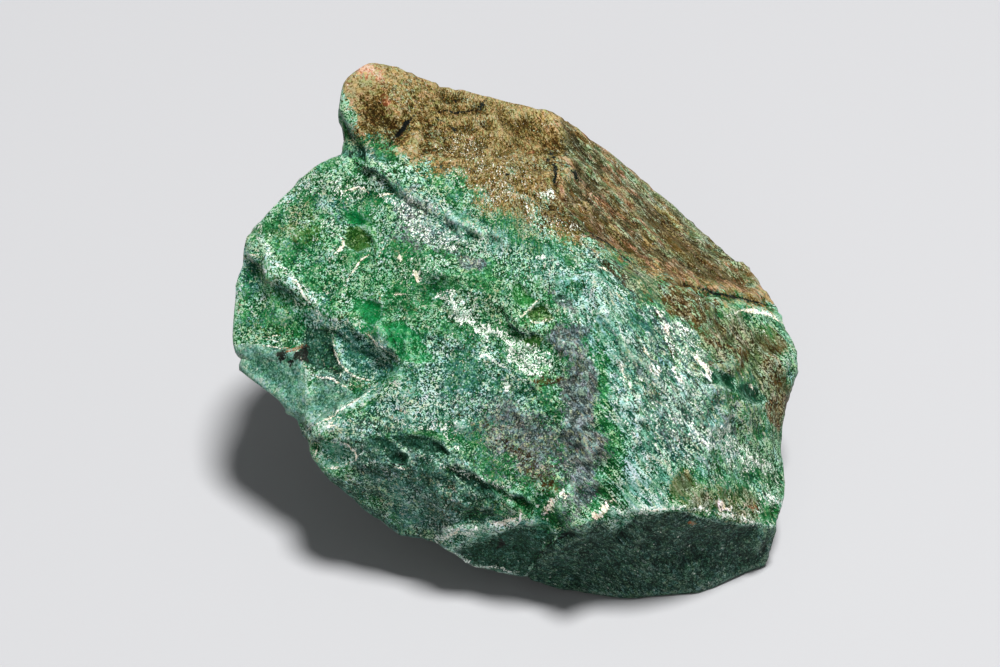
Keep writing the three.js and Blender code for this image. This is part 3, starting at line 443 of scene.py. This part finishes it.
def welded_copy(node):
    """The node's points in millimetres and its triangles, with shared points joined."""
    mesh = bmesh.new()
    mesh.from_mesh(node.data)
    bmesh.ops.remove_doubles(mesh, verts=mesh.verts, dist=WELD * MM)
    bmesh.ops.triangulate(mesh, faces=mesh.faces)
    points = np.array([v.co for v in mesh.verts]) / MM
    triangles = np.array([[v.index for v in f.verts] for f in mesh.faces])
    mesh.free()
    return points, triangles


def split(points, triangles):
    """Each triangle in four, with a new point at the middle of every edge."""
    edges = np.sort(triangles[:, [0, 1, 1, 2, 2, 0]].reshape(-1, 2), axis=1)
    unique, where = np.unique(edges, axis=0, return_inverse=True)
    a, b, c = triangles.T
    ab, bc, ca = (where.reshape(-1, 3) + len(points)).T
    corners = [(a, ab, ca), (ab, b, bc), (ca, bc, c), (ab, bc, ca)]
    finer = np.concatenate([np.stack(corner, axis=1) for corner in corners])
    return np.vstack([points, points[unique].mean(axis=1)]), finer


def around(values, triangles):
    """The mean of each point's neighbours."""
    start = triangles.ravel()
    end = triangles[:, [1, 2, 0]].ravel()
    total = np.zeros((len(values), values[0].size))
    np.add.at(total, start, values.reshape(len(values), -1)[end])
    np.add.at(total, end, values.reshape(len(values), -1)[start])
    count = np.bincount(start, minlength=len(values)) + np.bincount(end, minlength=len(values))
    return (total / count[:, None]).reshape(values.shape)


def normals_of(points, triangles):
    """Each point's normal, the mean of its triangles' by their area."""
    a, b, c = (points[triangles[:, i]] for i in range(3))
    flat = np.cross(b - a, c - a)
    total = np.zeros_like(points)
    for i in range(3):
        np.add.at(total, triangles[:, i], flat)
    return total / np.linalg.norm(total, axis=1)[:, None]


def sharpness(points, triangles):
    """How sharply the surface turns at each point: 0 where it is flat, towards 1 on an edge."""
    normals = normals_of(points, triangles)
    return 1 - np.clip(np.linalg.norm(around(normals, triangles), axis=1), 0, 1)


def fine_skin(node):
    """The node's surface with sixteen times the triangles, its flats evened out and its edges kept."""
    points, triangles = welded_copy(node)
    for passes, hold in SPLITS:
        stiff = np.clip(sharpness(points, triangles) * hold, 0, STIFFEST)
        both, triangles = split(np.column_stack([points, stiff]), triangles)
        points, stiff = both[:, :3], both[:, 3:]
        for pull in PULLS * passes:
            points = points + (1 - stiff) * pull * (around(points, triangles) - points)
    return points, triangles


# ---- fields over the skin


def smooth(low, high, value):
    """0 at low, 1 at high and an S-shaped rise between them, or a fall where high is under low."""
    t = np.clip((value - low) / (high - low), 0, 1)
    return t * t * (3 - 2 * t)


def clouds(points, size, seed, octaves):
    """Soft noise of that wavelength with finer noise in it, about -1 to 1."""
    return np.array([noise.fractal(Vector(p), 1, 2.1, octaves) for p in points / size + seed])


def stray(points, size, seed):
    """A soft shift in space for each point, about 0.3 long."""
    return np.array([noise.noise_vector(Vector(p)) for p in points / size + seed])


def scoops(points, size, seed):
    """Shallow bowls about that wide, each tilted its own way, that meet in crisp ridges. Heights are about
    -0.25 to 0.25."""
    middle = Vector((0.5, 0.5, 0.5))
    heights = []
    for spot in (points + 0.5 * size * stray(points, 0.7 * size, seed)) / size + seed:
        place = Vector(spot)
        bowls = []
        for heart in noise.voronoi(place)[1]:
            away = place - heart
            bowls.append(away.dot(noise.cell_vector(heart * 37) - middle) + BOWL * away.length_squared)
        heights.append(min(bowls))
    return np.array(heights) - np.mean(heights)


def on_face(points):
    """Each point's place on the broad face's plane, as it looks from the viewpoint."""
    face = (points - FACE_ORIGIN) @ np.stack([FACE_RIGHT, FACE_UP, FACE_OUT], axis=1)
    return face[:, :2] * (VIEWPOINT / (VIEWPOINT - face[:, 2]))[:, None]


def to_line(xy, line):
    """Each point's distance from a line of points, that distance signed (positive on its left), and how far
    along the line it lies, 0 to 1."""
    line = np.array(line, float)
    lengths = np.linalg.norm(line[1:] - line[:-1], axis=1)
    before = np.concatenate([[0], np.cumsum(lengths)])
    best = np.full(len(xy), np.inf)
    signed = np.zeros(len(xy))
    share = np.zeros(len(xy))
    for start, end, length, gone in zip(line[:-1], line[1:], lengths, before):
        along = (end - start) / length
        t = np.clip((xy - start) @ along, 0, length)
        gap = xy - start - t[:, None] * along
        distance = np.linalg.norm(gap, axis=1)
        nearer = distance < best
        best = np.where(nearer, distance, best)
        side = np.sign(along[0] * gap[:, 1] - along[1] * gap[:, 0])
        signed = np.where(nearer, side * distance, signed)
        share = np.where(nearer, (gone + t) / before[-1], share)
    return best, signed, share


def to_oval(xy, x, y, half_length, half_width, turn):
    """0 at the oval's middle, 1 on its outline."""
    angle = math.radians(turn)
    right = (xy[:, 0] - x) * math.cos(angle) + (xy[:, 1] - y) * math.sin(angle)
    up = (xy[:, 1] - y) * math.cos(angle) - (xy[:, 0] - x) * math.sin(angle)
    return np.hypot(right / half_length, up / half_width)


def to_outline(xy, corners):
    """How far inside an outline of corners each point lies, negative outside it."""
    inside = np.zeros(len(xy), bool)
    x, y = xy.T
    ring = [*corners, corners[0]]
    for (x0, y0), (x1, y1) in zip(ring[:-1], ring[1:]):
        if y0 != y1:
            inside ^= ((y0 > y) != (y1 > y)) & (x < x0 + (y - y0) * (x1 - x0) / (y1 - y0))
    distance = to_line(xy, ring)[0]
    return np.where(inside, distance, -distance)


def tapered(share, ends=0.15):
    """1 along a line, dying away to 0 over that share of it at either end."""
    return smooth(0, ends, share) * smooth(1, 1 - ends, share)


# ---- relief


def flank_field(points):
    """1 on the striped flank, right of the crest and above the rind's border."""
    xy = on_face(points)
    return smooth(0, 3, to_line(xy, RIND_BORDER)[1]) * smooth(7, 11, xy[:, 0])


def flank_grooves(points):
    """The points squeezed along the flank's stripes, so that noise on them is drawn out."""
    x, y = on_face(points).T
    return np.stack([0.35 * x + 0.3 * y, 1.5 * (x + y), 0.3 * points[:, 2]], axis=1)


def near_edges(points):
    """Where each point lies on the face for what has crisp, straight edges."""
    return on_face(points + 0.3 * stray(points, 1.8, 77))


def facet_fields(points):
    """1 on the crisp facets and 0 off them, and how deep they are sunk."""
    xy = near_edges(points)
    quiet = np.zeros(len(points))
    sunk = np.zeros(len(points))
    for corners, _, _, depth in FACETS.values():
        if depth:
            inside = smooth(*FACET_SOFTNESS, to_outline(xy, corners))
            quiet = np.maximum(quiet, inside)
            sunk += depth * inside
    return quiet, sunk


def carve(points, triangles):
    """The skin with the small relief of the breaks carved into it, and how high each point was moved. What is
    listed for the broad face counts only where the skin is seen from its side."""
    normals = normals_of(points, triangles)
    seen = smooth(-0.1, 0.25, normals @ FACE_OUT)
    xy = on_face(points + 0.9 * stray(points, 3, 11) + 0.35 * stray(points, 1.1, 29))
    rind = rind_field(points, normals)

    height = LUMP_RISE * clouds(points, LUMP_SIZE, 1, octaves=3)
    broken = 0.35 + 0.65 * smooth(-0.25, 0.35, clouds(points, 11, 13, octaves=2))
    quiet, sunk = facet_fields(points)
    broken *= (1 - 0.5 * seen * quiet) * (1 - 0.2 * rind)
    for width, steepness, seed in SCOOPS:
        height += steepness * width * scoops(points, width, seed) * broken
    height += rind * CRUST_RISE * clouds(points, CRUST_SIZE, 17, octaves=3)
    stripes = clouds(flank_grooves(points), GROOVE_SIZE, 41, octaves=2)
    height += flank_field(points) * GROOVE_RISE * stripes

    for line, rise, cut, reach in STEPS.values():
        distance, signed, share = to_line(xy, line)
        above = rise * smooth(-0.15, 0.35, signed) * smooth(reach, 0.3, distance)
        below = cut * smooth(0.15, -0.35, signed) * smooth(reach, 0.2, distance)
        height += seen * tapered(share, 0.1) * (above - below)
    for line, depth, width in SCARPS.values():
        _, signed, share = to_line(xy, line)
        fall = np.clip(-signed / width, 0, 1) * smooth(1.2, 1, -signed / width)
        height -= seen * depth * tapered(share, 0.25) * fall
    for line, half_width, rise in RIDGES.values():
        distance, _, share = to_line(xy, line)
        height += seen * rise * tapered(share) * np.clip(1 - distance / half_width / 1.6, 0, 1) ** 1.3
    for line, half_width, depth in CRACKS.values():
        distance, _, share = to_line(xy, line)
        height -= seen * depth * tapered(share) * smooth(half_width * 1.6, 0, distance)
    for *oval, depth in HOLLOWS:
        r = to_oval(xy, *oval)
        height -= seen * depth * np.clip(1 - r * r, 0, 1)
    height -= seen * sunk

    # The solid's own edges and the foot keep their place.
    sharp = around(around(sharpness(points, triangles), triangles), triangles)
    height *= smooth(-0.5, 2.5, points[:, 2]) * smooth(0.05, 0.008, sharp)
    fuller = np.full(len(points), PLUMP)
    plain = on_face(points)
    for *oval, rise in SWELLS:
        r = to_oval(plain, *oval)
        fuller += rise * np.clip(1 - r * r, 0, 1)
    height += fuller * smooth(-0.4, 0.6, points[:, 2])
    carved = points + normals * height[:, None]
    carved[:, 2] = np.maximum(carved[:, 2], 0)
    return carved, height


# ---- paint


def rind_field(points, normals):
    """Where the brown weathered rind lies: on the crest, the right flank and the top of the back."""
    signed = to_line(on_face(points), RIND_BORDER)[1]
    front = smooth(-2.6, 2.6, signed + 1.6 * clouds(points, 3.2, 21, octaves=3))
    behind = smooth(24, 33, points[:, 2] + 0.25 * points[:, 0] + 5 * clouds(points, 9, 31, octaves=3))
    seen = smooth(-0.15, 0.1, normals @ FACE_OUT)
    return seen * front + (1 - seen) * behind * 0.9


def paint_lines(layers, name, lines, xy, seen):
    """Two layers for the material to draw the lines from, in millimetres: each point's signed distance from
    the nearest of them, and that one's half width there."""
    nearest = np.full(len(xy), np.inf)
    for line, half_width in lines:
        distance, signed, share = to_line(xy, line)
        nearer = distance < nearest
        nearest = np.where(nearer, distance, nearest)
        width = seen * half_width * tapered(share, 0.4) * smooth(1.1, 0.7, distance)
        layers[name + "_side"] = np.where(nearer, signed, layers[name + "_side"])
        layers[name + "_width"] = np.where(nearer, width, layers[name + "_width"])


def paint(points, triangles, height):
    """The material's layers: how much of each mineral lies at each point, the crisp lines, and how far the
    point stands out of the skin around it, which the material paints paler, partly as worn edges and partly
    as highlight, and darker as shade."""
    normals = normals_of(points, triangles)
    seen = smooth(-0.25, 0.05, normals @ FACE_OUT)
    # Large marks wander further from where they are listed than small ones.
    loose = on_face(points + 2.4 * stray(points, 4, 51) + 1 * stray(points, 1.4, 71))
    close = on_face(points + 0.9 * stray(points, 2.2, 51) + 0.4 * stray(points, 0.9, 71))
    sides = [line + part for line in (*LINES, "painted_rim_highlight") for part in ("_side", "_width")]
    minerals = [name for name in PALETTE if name not in (GROUND, "chalk")]
    layers = {name: np.zeros(len(points)) for name in (*minerals, "spray", "bare", "calm", *sides)}

    def lay(name, cover):
        layers[name] = np.maximum(layers[name], cover)

    for name, blots in BLOTS.items():
        for *oval, coverage in blots:
            xy = close if min(oval[2:4]) < NARROW else loose
            lay(name, seen * coverage * smooth(1.5, 0.5, to_oval(xy, *oval)))
    for name, streaks in STREAKS.items():
        for line, half_width, coverage in streaks:
            distance = to_line(close if half_width < WIDE else loose, line)[0]
            lay(name, seen * coverage * smooth(1.8 * half_width, 0.3 * half_width, distance))
    for name, size, seed, most in SPRINKLES:
        lay(name, most * smooth(-0.4, 0.4, clouds(points, size, seed, octaves=2)))
    crisp = near_edges(points)
    for corners, name, coverage, depth in FACETS.values():
        soft = smooth(-1, 1.4, to_outline(loose, corners))
        inside = np.clip(0.5 + 1.2 * to_outline(crisp, corners), 0, 1) if depth else soft
        covers = CRISP_COVERS if depth else SOFT_COVERS
        for under in minerals:
            if under not in FINE_MARKS:
                layers[under] = layers[under] * (1 - covers * seen * inside)
        lay(name, seen * coverage * inside)
        if depth:
            lay("calm", seen * inside)
    for name, lines in LINES.items():
        paint_lines(layers, name, lines, on_face(points + 0.35 * stray(points, 1.6, 51)), seen)
    # Painted highlight: a pale line around each crisp facet's outline.
    painted_rim_highlights = [([*corners, corners[0]], PAINTED_RIM_HIGHLIGHT) for corners, _, _, depth in FACETS.values() if depth]
    paint_lines(layers, "painted_rim_highlight", painted_rim_highlights, crisp, seen)

    layers["rind"] = rind_field(points, normals)
    x, y = on_face(points).T
    layers["flow"] = seen * smooth(-2, 16, x + 0.25 * y) + (1 - seen) * 0.5
    streaked = clouds(flank_grooves(points), 2.4, 43, octaves=3)
    flank = flank_field(points)
    lay("rust", 0.6 * flank * smooth(0.15, 0.45, streaked))
    lay("umber", 0.7 * flank * smooth(-0.05, -0.3, streaked))
    lay("khaki", 0.6 * flank * smooth(0.05, 0.35, clouds(flank_grooves(points), 3.4, 57, octaves=3)))
    # Partly painted shade: the right flank's rind is painted a darker brown, partly its own colour and partly
    # the shade on that side.
    layers["flank_rind_and_painted_shade"] = flank * smooth(-0.5, 0.1, clouds(points, 5, 45, octaves=2))
    layers["rind"] *= 1 - layers.pop("bare")
    # Painted shade: where the surface faces down, it is painted the dark green of deep, as the shade under
    # the stone.
    painted_overhang_shade = smooth(0.3, -0.25, normals[:, 2] + 0.1 * clouds(points, 5, 61, octaves=2))
    lay("deep", 0.8 * painted_overhang_shade)
    hidden = (1 - seen) * (1 - layers["rind"])
    for name, size, seed, low in HIDDEN_DRIFTS:
        lay(name, 0.7 * hidden * smooth(low, low + 0.45, clouds(points, size, seed, octaves=3)))

    # Painted light and shade: what stands out of its surroundings is painted paler, partly as worn edges and
    # partly as highlight, and what lies deeper is painted darker, as the shade in its hollows.
    bulge = ((points - around(points, triangles)) * normals).sum(axis=1)
    wide = height
    for _ in range(SURROUNDINGS):
        wide = around(wide, triangles)
    layers["edge"] = np.clip(0.5 + 5 * around(bulge, triangles) + 0.6 * (height - wide), 0, 1)
    return layers


# ---- material


class Graph:
    """A material's nodes, made one call at a time."""

    def __init__(self, name):
        self.material = bpy.data.materials.new(name)
        self.material.use_nodes = True
        self.tree = self.material.node_tree
        self.tree.nodes.clear()

    def add(self, kind, inputs=None, **settings):
        """A new node. An input that is a socket is linked, and any other is set."""
        node = self.tree.nodes.new("ShaderNode" + kind)
        for key, value in settings.items():
            setattr(node, key, value)
        for key, value in (inputs or {}).items():
            if isinstance(value, bpy.types.NodeSocket):
                self.tree.links.new(value, node.inputs[key])
            else:
                node.inputs[key].default_value = value
        return node

    def math(self, operation, *values):
        return self.add("Math", dict(enumerate(values)), operation=operation).outputs[0]

    def vector(self, operation, *values):
        node = self.add("VectorMath", dict(enumerate(values)), operation=operation)
        return node.outputs["Value"] if operation == "DOT_PRODUCT" else node.outputs[0]

    def along(self, place, line, share):
        """The place with that share of its reach along a line taken out, so that noise on it is drawn out."""
        reach = self.vector("DOT_PRODUCT", place, line)
        back = self.math("MULTIPLY", reach, self.math("MULTIPLY", share, -1))
        shift = self.add("CombineXYZ", {0: back, 1: back, 2: back}).outputs[0]
        return self.vector("MULTIPLY_ADD", shift, line, place)

    def sum(self, *terms):
        """The sum of (socket, factor) terms."""
        total = 0.0
        for socket, factor in terms:
            total = self.math("MULTIPLY_ADD", socket, factor, total)
        return total

    def mix(self, share, under, over):
        """Two colours mixed. The node has its colours at 6 and 7, and its numbers at 2 and 3."""
        return self.add("Mix", {0: share, 6: under, 7: over}, data_type="RGBA").outputs[2]

    def blend(self, share, under, over):
        """Two numbers mixed."""
        return self.add("Mix", {0: share, 2: under, 3: over}).outputs[0]

    def step(self, value, low, high):
        """0 at low, 1 at high and an S-shaped rise between them."""
        node = self.add("MapRange", {"Value": value, "From Min": low, "From Max": high})
        node.interpolation_type = "SMOOTHSTEP"
        return node.outputs[0]

    def noises(self, place, size, detail, roughness=0.6, distortion=0.0):
        """Three noises whose features are that many millimetres across, each about -0.3 to 0.3."""
        inputs = {"Vector": place, "Scale": 1 / size, "Detail": detail, "Roughness": roughness}
        inputs["Distortion"] = distortion
        colour = self.add("TexNoise", inputs).outputs["Color"]
        centred = self.vector("SUBTRACT", colour, (0.5, 0.5, 0.5))
        return self.add("SeparateXYZ", {0: centred}).outputs[:]

    def warped(self, place, size, reach):
        """The place shifted by up to that reach, in swirls of that size, in millimetres."""
        swirl = self.add("TexNoise", {"Vector": place, "Scale": 1 / size}).outputs["Color"]
        return self.vector("MULTIPLY_ADD", swirl, (reach,) * 3, place)

    def crystals(self, place, size, whole=False):
        """Crystals about that wide, each with three random numbers of its own, -0.5 to 0.5, or those as one
        vector if whole."""
        colour = self.add("TexVoronoi", {"Vector": place, "Scale": 1 / size}).outputs["Color"]
        centred = self.vector("SUBTRACT", colour, (0.5, 0.5, 0.5))
        return centred if whole else self.add("SeparateXYZ", {0: centred}).outputs[:]

    def chips(self, place, size):
        """Flat chips about that wide, each tilted its own way: their height in millimetres."""
        scaled = self.vector("MULTIPLY", place, (1 / size,) * 3)
        cells = self.add("TexVoronoi", {"Vector": scaled, "Scale": 1})
        away = self.vector("SUBTRACT", scaled, cells.outputs["Position"])
        tilt = self.vector("SUBTRACT", cells.outputs["Color"], (0.5, 0.5, 0.5))
        return self.math("MULTIPLY", self.vector("DOT_PRODUCT", away, tilt), size)

    def layer(self, name):
        return self.add("Attribute", attribute_name=name).outputs["Fac"]

    def ramp(self, value, stops):
        node = self.add("ValToRGB", {"Fac": value})
        elements = node.color_ramp.elements
        while len(elements) < len(stops):
            elements.new(0.5)
        for element, (position, colour) in zip(elements, stops):
            element.position = position
            element.color = colour
        return node.outputs[0]

    def surface(self, inputs):
        """The shader with those inputs, as the material's surface."""
        shader = self.add("BsdfPrincipled", inputs)
        self.add("OutputMaterial", {"Surface": shader.outputs[0]})


def linear(colour, exposure):
    """An sRGB colour in 0 to 255 as Blender's linear colour."""
    shares = [c / 255 for c in colour]
    straight = [c / 12.92 if c < 0.04045 else ((c + 0.055) / 1.055) ** 2.4 for c in shares]
    return (*[exposure * c for c in straight], 1)


GRAIN, FLECK, CLOUD, CHIP, CRYSTAL, SPECK, PATCH = 0.26, 0.7, 4, 0.9, 0.36, 0.16, 0.5  # mm across
TONE_STEPS = (0.28, 0.43, 0.6, 0.8)  # where a mineral's four colours lie on its tone
LAYER_ORDER = (  # from the bottom up: the mineral, which of the frays breaks up its outline, and how much
    ("emerald", 1, 1), ("leaf", 0, 1), ("olive", 2, 1), ("deep", 0, -0.7), ("teal", 1, -1), ("mint", 0, 1),
    ("slate", 2, -1), ("cheek", 1, 0.4), ("bottle_green_and_painted_shade", 2, 0.4), ("rind", 1, 0.9), ("flank_rind_and_painted_shade", 2, 0.8),
    ("khaki", 0, 1), ("rust", 2, 1), ("umber", 0, -0.8), ("ochre", 1, -1), ("pool", 2, 0.3), ("cream", 0, 1),
)
DULLNESS = {  # the shader's roughness: a mineral that isn't here keeps that of what it lies over
    GROUND: 0.6, "mint": 0.85, "rind": 0.85, "flank_rind_and_painted_shade": 0.8, "chalk": 0.9, "emerald": 0.4, "cheek": 0.5,
    "deep": 0.45, "bottle_green_and_painted_shade": 0.5,
}
GLOSS = {"IOR": 1.6, "Specular IOR Level": 0.07}
TINT = (0.44, 0.16, 0.3)  # how much the crystals differ in red, green and blue
FLOW_TURN = math.radians(-52)  # of the line on the broad face that the grain is drawn out along
FLOW = FACE_RIGHT * math.cos(FLOW_TURN) + FACE_UP * math.sin(FLOW_TURN)
DRAWN_OUT = 0.72  # how strongly, where it flows: 0 for not at all, 1 for endless lines


def malachite():
    """The stone's material: each mineral's colours by the tone of the grain, one mineral over another."""
    graph = Graph("malachite")
    place = graph.vector("MULTIPLY", graph.add("TexCoord").outputs["Object"], (1 / MM,) * 3)
    drawn = graph.along(place, tuple(FLOW), graph.math("MULTIPLY", graph.layer("flow"), DRAWN_OUT))
    grain = graph.noises(drawn, GRAIN, 2, 0.75, 0.5)
    fleck = graph.noises(drawn, FLECK, 3, 0.75, 0.6)
    cloud = graph.noises(place, CLOUD, 2)
    crumb = graph.chips(graph.warped(place, 1.6, 0.7), CHIP)
    crystal = graph.crystals(graph.warped(drawn, 0.5, 0.3), CRYSTAL)
    speck = graph.crystals(place, SPECK)
    # Painted light and shade: this layer makes raised places paler, partly as worn edges and partly as
    # highlight, and hollows darker as shade.
    edge = graph.math("SUBTRACT", graph.layer("edge"), 0.5)

    # The grain is rough in drifts and quiet between them.
    rough = graph.step(graph.sum((cloud[1], 1), (fleck[1], 0.5)), -0.12, 0.16)
    rough = graph.math("MULTIPLY_ADD", rough, 1.1, 0.34)
    rough = graph.math("MULTIPLY", rough, graph.math("MULTIPLY_ADD", graph.layer("calm"), -0.35, 1))
    tone = graph.sum((grain[0], 1.25), (fleck[0], 0.66), (crystal[0], 0.42), (speck[0], 0.85), (crumb, 0.1))
    tone = graph.math("MULTIPLY", tone, rough)
    tone = graph.math("ADD", graph.sum((cloud[0], 0.2), (edge, 0.4), (tone, 1)), 0.5)
    even = graph.sum((grain[1], 0.9), (fleck[1], 0.5), (crystal[1], 0.32), (speck[1], 0.5), (cloud[0], 0.2))
    even = graph.math("MULTIPLY_ADD", edge, 0.45, even)
    even = graph.math("MULTIPLY_ADD", even, graph.math("MULTIPLY_ADD", graph.layer("calm"), -0.3, 1), 0.5)
    frays = [
        graph.sum((grain[i], 0.8), (fleck[i], 0.9), (crystal[i], 0.45), (speck[i], 0.35)) for i in range(3)
    ]

    def colour_of(name):
        exposure = 1 if name in BRIGHTEST else EXPOSURE
        colours = [linear(colour, exposure) for colour in PALETTE[name]]
        return graph.ramp(even if name in EVEN else tone, list(zip(TONE_STEPS, colours)))

    def reach(name, fray, much):
        """Where that layer shows, with its outline broken up by the grain."""
        there = graph.layer(name)
        ragged = graph.math("MULTIPLY", frays[fray], graph.math("MULTIPLY", graph.step(there, 0, 0.15), much))
        return graph.step(graph.math("ADD", there, ragged), 0.36, 0.64)

    def inside(name):
        """How far inside the nearest of those crisp lines a spot lies, in millimetres."""
        away = graph.math("ABSOLUTE", graph.layer(name + "_side"))
        return graph.math("SUBTRACT", graph.layer(name + "_width"), away)

    colour = colour_of(GROUND)
    dullness = DULLNESS[GROUND]
    tint = graph.vector("MULTIPLY_ADD", graph.crystals(drawn, PATCH, whole=True), TINT, (1, 1, 1))
    for name, fray, much in LAYER_ORDER:
        share = reach(name, fray, much)
        colour = graph.mix(share, colour, colour_of(name))
        if name in DULLNESS:
            dullness = graph.blend(share, dullness, DULLNESS[name])

    colour = graph.vector("MULTIPLY", colour, tint)
    spray = graph.sum((crystal[1], 0.25), (speck[2], 0.42), (grain[1], 0.6), (fleck[2], 0.75))
    spray = graph.step(graph.math("MULTIPLY_ADD", graph.layer("spray"), 0.46, spray), 0.37, 0.42)
    colour = graph.mix(spray, colour, colour_of("chalk"))
    # Painted highlight: a pale mint line along each crisp facet's outline.
    painted_rim_highlight = graph.step(graph.sum((inside("painted_rim_highlight"), 1), (speck[0], 0.2), (fleck[0], 0.4)), 0, 0.08)
    colour = graph.mix(graph.math("MULTIPLY", painted_rim_highlight, 0.7), colour, colour_of("mint"))
    vein = graph.step(graph.sum((inside("vein"), 1), (speck[1], 0.3), (fleck[1], 0.6)), 0.02, 0.08)
    colour = graph.mix(vein, colour, colour_of("cream"))
    chalk = graph.math("MAXIMUM", vein, spray)
    dullness = graph.blend(chalk, dullness, DULLNESS["chalk"])
    # Dark pits between the grains, black spots, and painted shade in cracks and creases.
    pits = graph.step(graph.sum((crystal[2], 0.4), (grain[2], 0.8), (fleck[2], -0.4)), 0.3, 0.36)
    painted_crack_shade_and_black_spots = graph.step(graph.sum((inside("slit"), 1), (speck[2], 0.25), (fleck[2], 0.5)), 0, 0.06)
    painted_crack_shade_and_black_spots = graph.math("MAXIMUM", painted_crack_shade_and_black_spots, reach("black_spots_and_painted_crack_shade", 0, 1))
    pits = graph.math("MAXIMUM", graph.math("MULTIPLY", pits, 0.8), painted_crack_shade_and_black_spots)
    colour = graph.mix(pits, colour, colour_of("black_spots_and_painted_crack_shade"))

    relief = graph.sum((crumb, 0.14), (crystal[0], 0.05), (grain[0], 0.12), (chalk, 0.03), (pits, -0.08))
    bump = graph.add("Bump", {"Strength": 0.8, "Distance": MM, "Height": relief})
    graph.surface({"Base Color": colour, "Roughness": dullness, "Normal": bump.outputs[0], **GLOSS})
    return graph.material


# ---- the stone


def place_in_scene(name, data):
    thing = bpy.data.objects.new(name, data)
    bpy.context.scene.collection.objects.link(thing)
    return thing


def make_stone():
    points, triangles = fine_skin(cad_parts["stone"])
    points, height = carve(points, triangles)
    mesh = bpy.data.meshes.new("malachite_stone")
    mesh.from_pydata((points * MM).tolist(), [], triangles.tolist())
    mesh.shade_smooth()
    for name, values in paint(points, triangles, height).items():
        mesh.attributes.new(name, "FLOAT", "POINT").data.foreach_set("value", values.astype(np.float32))
    mesh.materials.append(malachite())
    stone = place_in_scene("malachite_stone", mesh)
    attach(stone, "root")
    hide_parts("stone")


# ---- studio

HEART = (0, 0, 0.025)  # what the lights look at
SOFTBOXES = {  # place and width in metres, watts
    "key": ((0.18, 0, 1.4), 0.36, 32),
    "fill": ((-0.3, -1.3, 0.9), 0.8, 2.4),
}
SKY = {"Color": (0.9, 0.92, 0.95, 1), "Strength": 0.15}
FLOOR = {"Base Color": (0.42, 0.42, 0.43, 1), "Roughness": 0.7}
FLOOR_REACH = 3  # metres either way
LENS = 104.4  # mm
SENSOR = 36  # mm wide


def make_floor():
    mesh = bpy.data.meshes.new("floor")
    corners = [(x * FLOOR_REACH, y * FLOOR_REACH, 0) for x, y in ((-1, -1), (1, -1), (1, 1), (-1, 1))]
    mesh.from_pydata(corners, [], [(0, 1, 2, 3)])
    graph = Graph("floor")
    graph.surface(FLOOR)
    mesh.materials.append(graph.material)
    floor = place_in_scene("floor", mesh)


def make_light():
    for name, (place, width, watts) in SOFTBOXES.items():
        light = bpy.data.lights.new(name, "AREA")
        light.shape = "DISK"
        light.size = width
        light.energy = watts
        lamp = place_in_scene(name, light)
        lamp.location = place
        lamp.rotation_euler = (Vector(HEART) - Vector(place)).to_track_quat("-Z", "Y").to_euler()
    world = bpy.data.worlds.new("studio")
    world.use_nodes = True
    for key, value in SKY.items():
        world.node_tree.nodes["Background"].inputs[key].default_value = value
    bpy.context.scene.world = world


def make_camera():
    data = bpy.data.cameras.new("camera")
    data.lens = LENS
    data.sensor_width = SENSOR
    data.clip_start = 0.01
    camera = place_in_scene("camera", data)
    camera.location = Vector((FACE_ORIGIN + FACE_OUT * VIEWPOINT) * MM)
    camera.rotation_euler = (math.pi / 2 - LEAN, 0, 0)
    bpy.context.scene.camera = camera


make_stone()
make_floor()
make_light()
make_camera()
bpy.context.scene.view_settings.view_transform = "Standard"
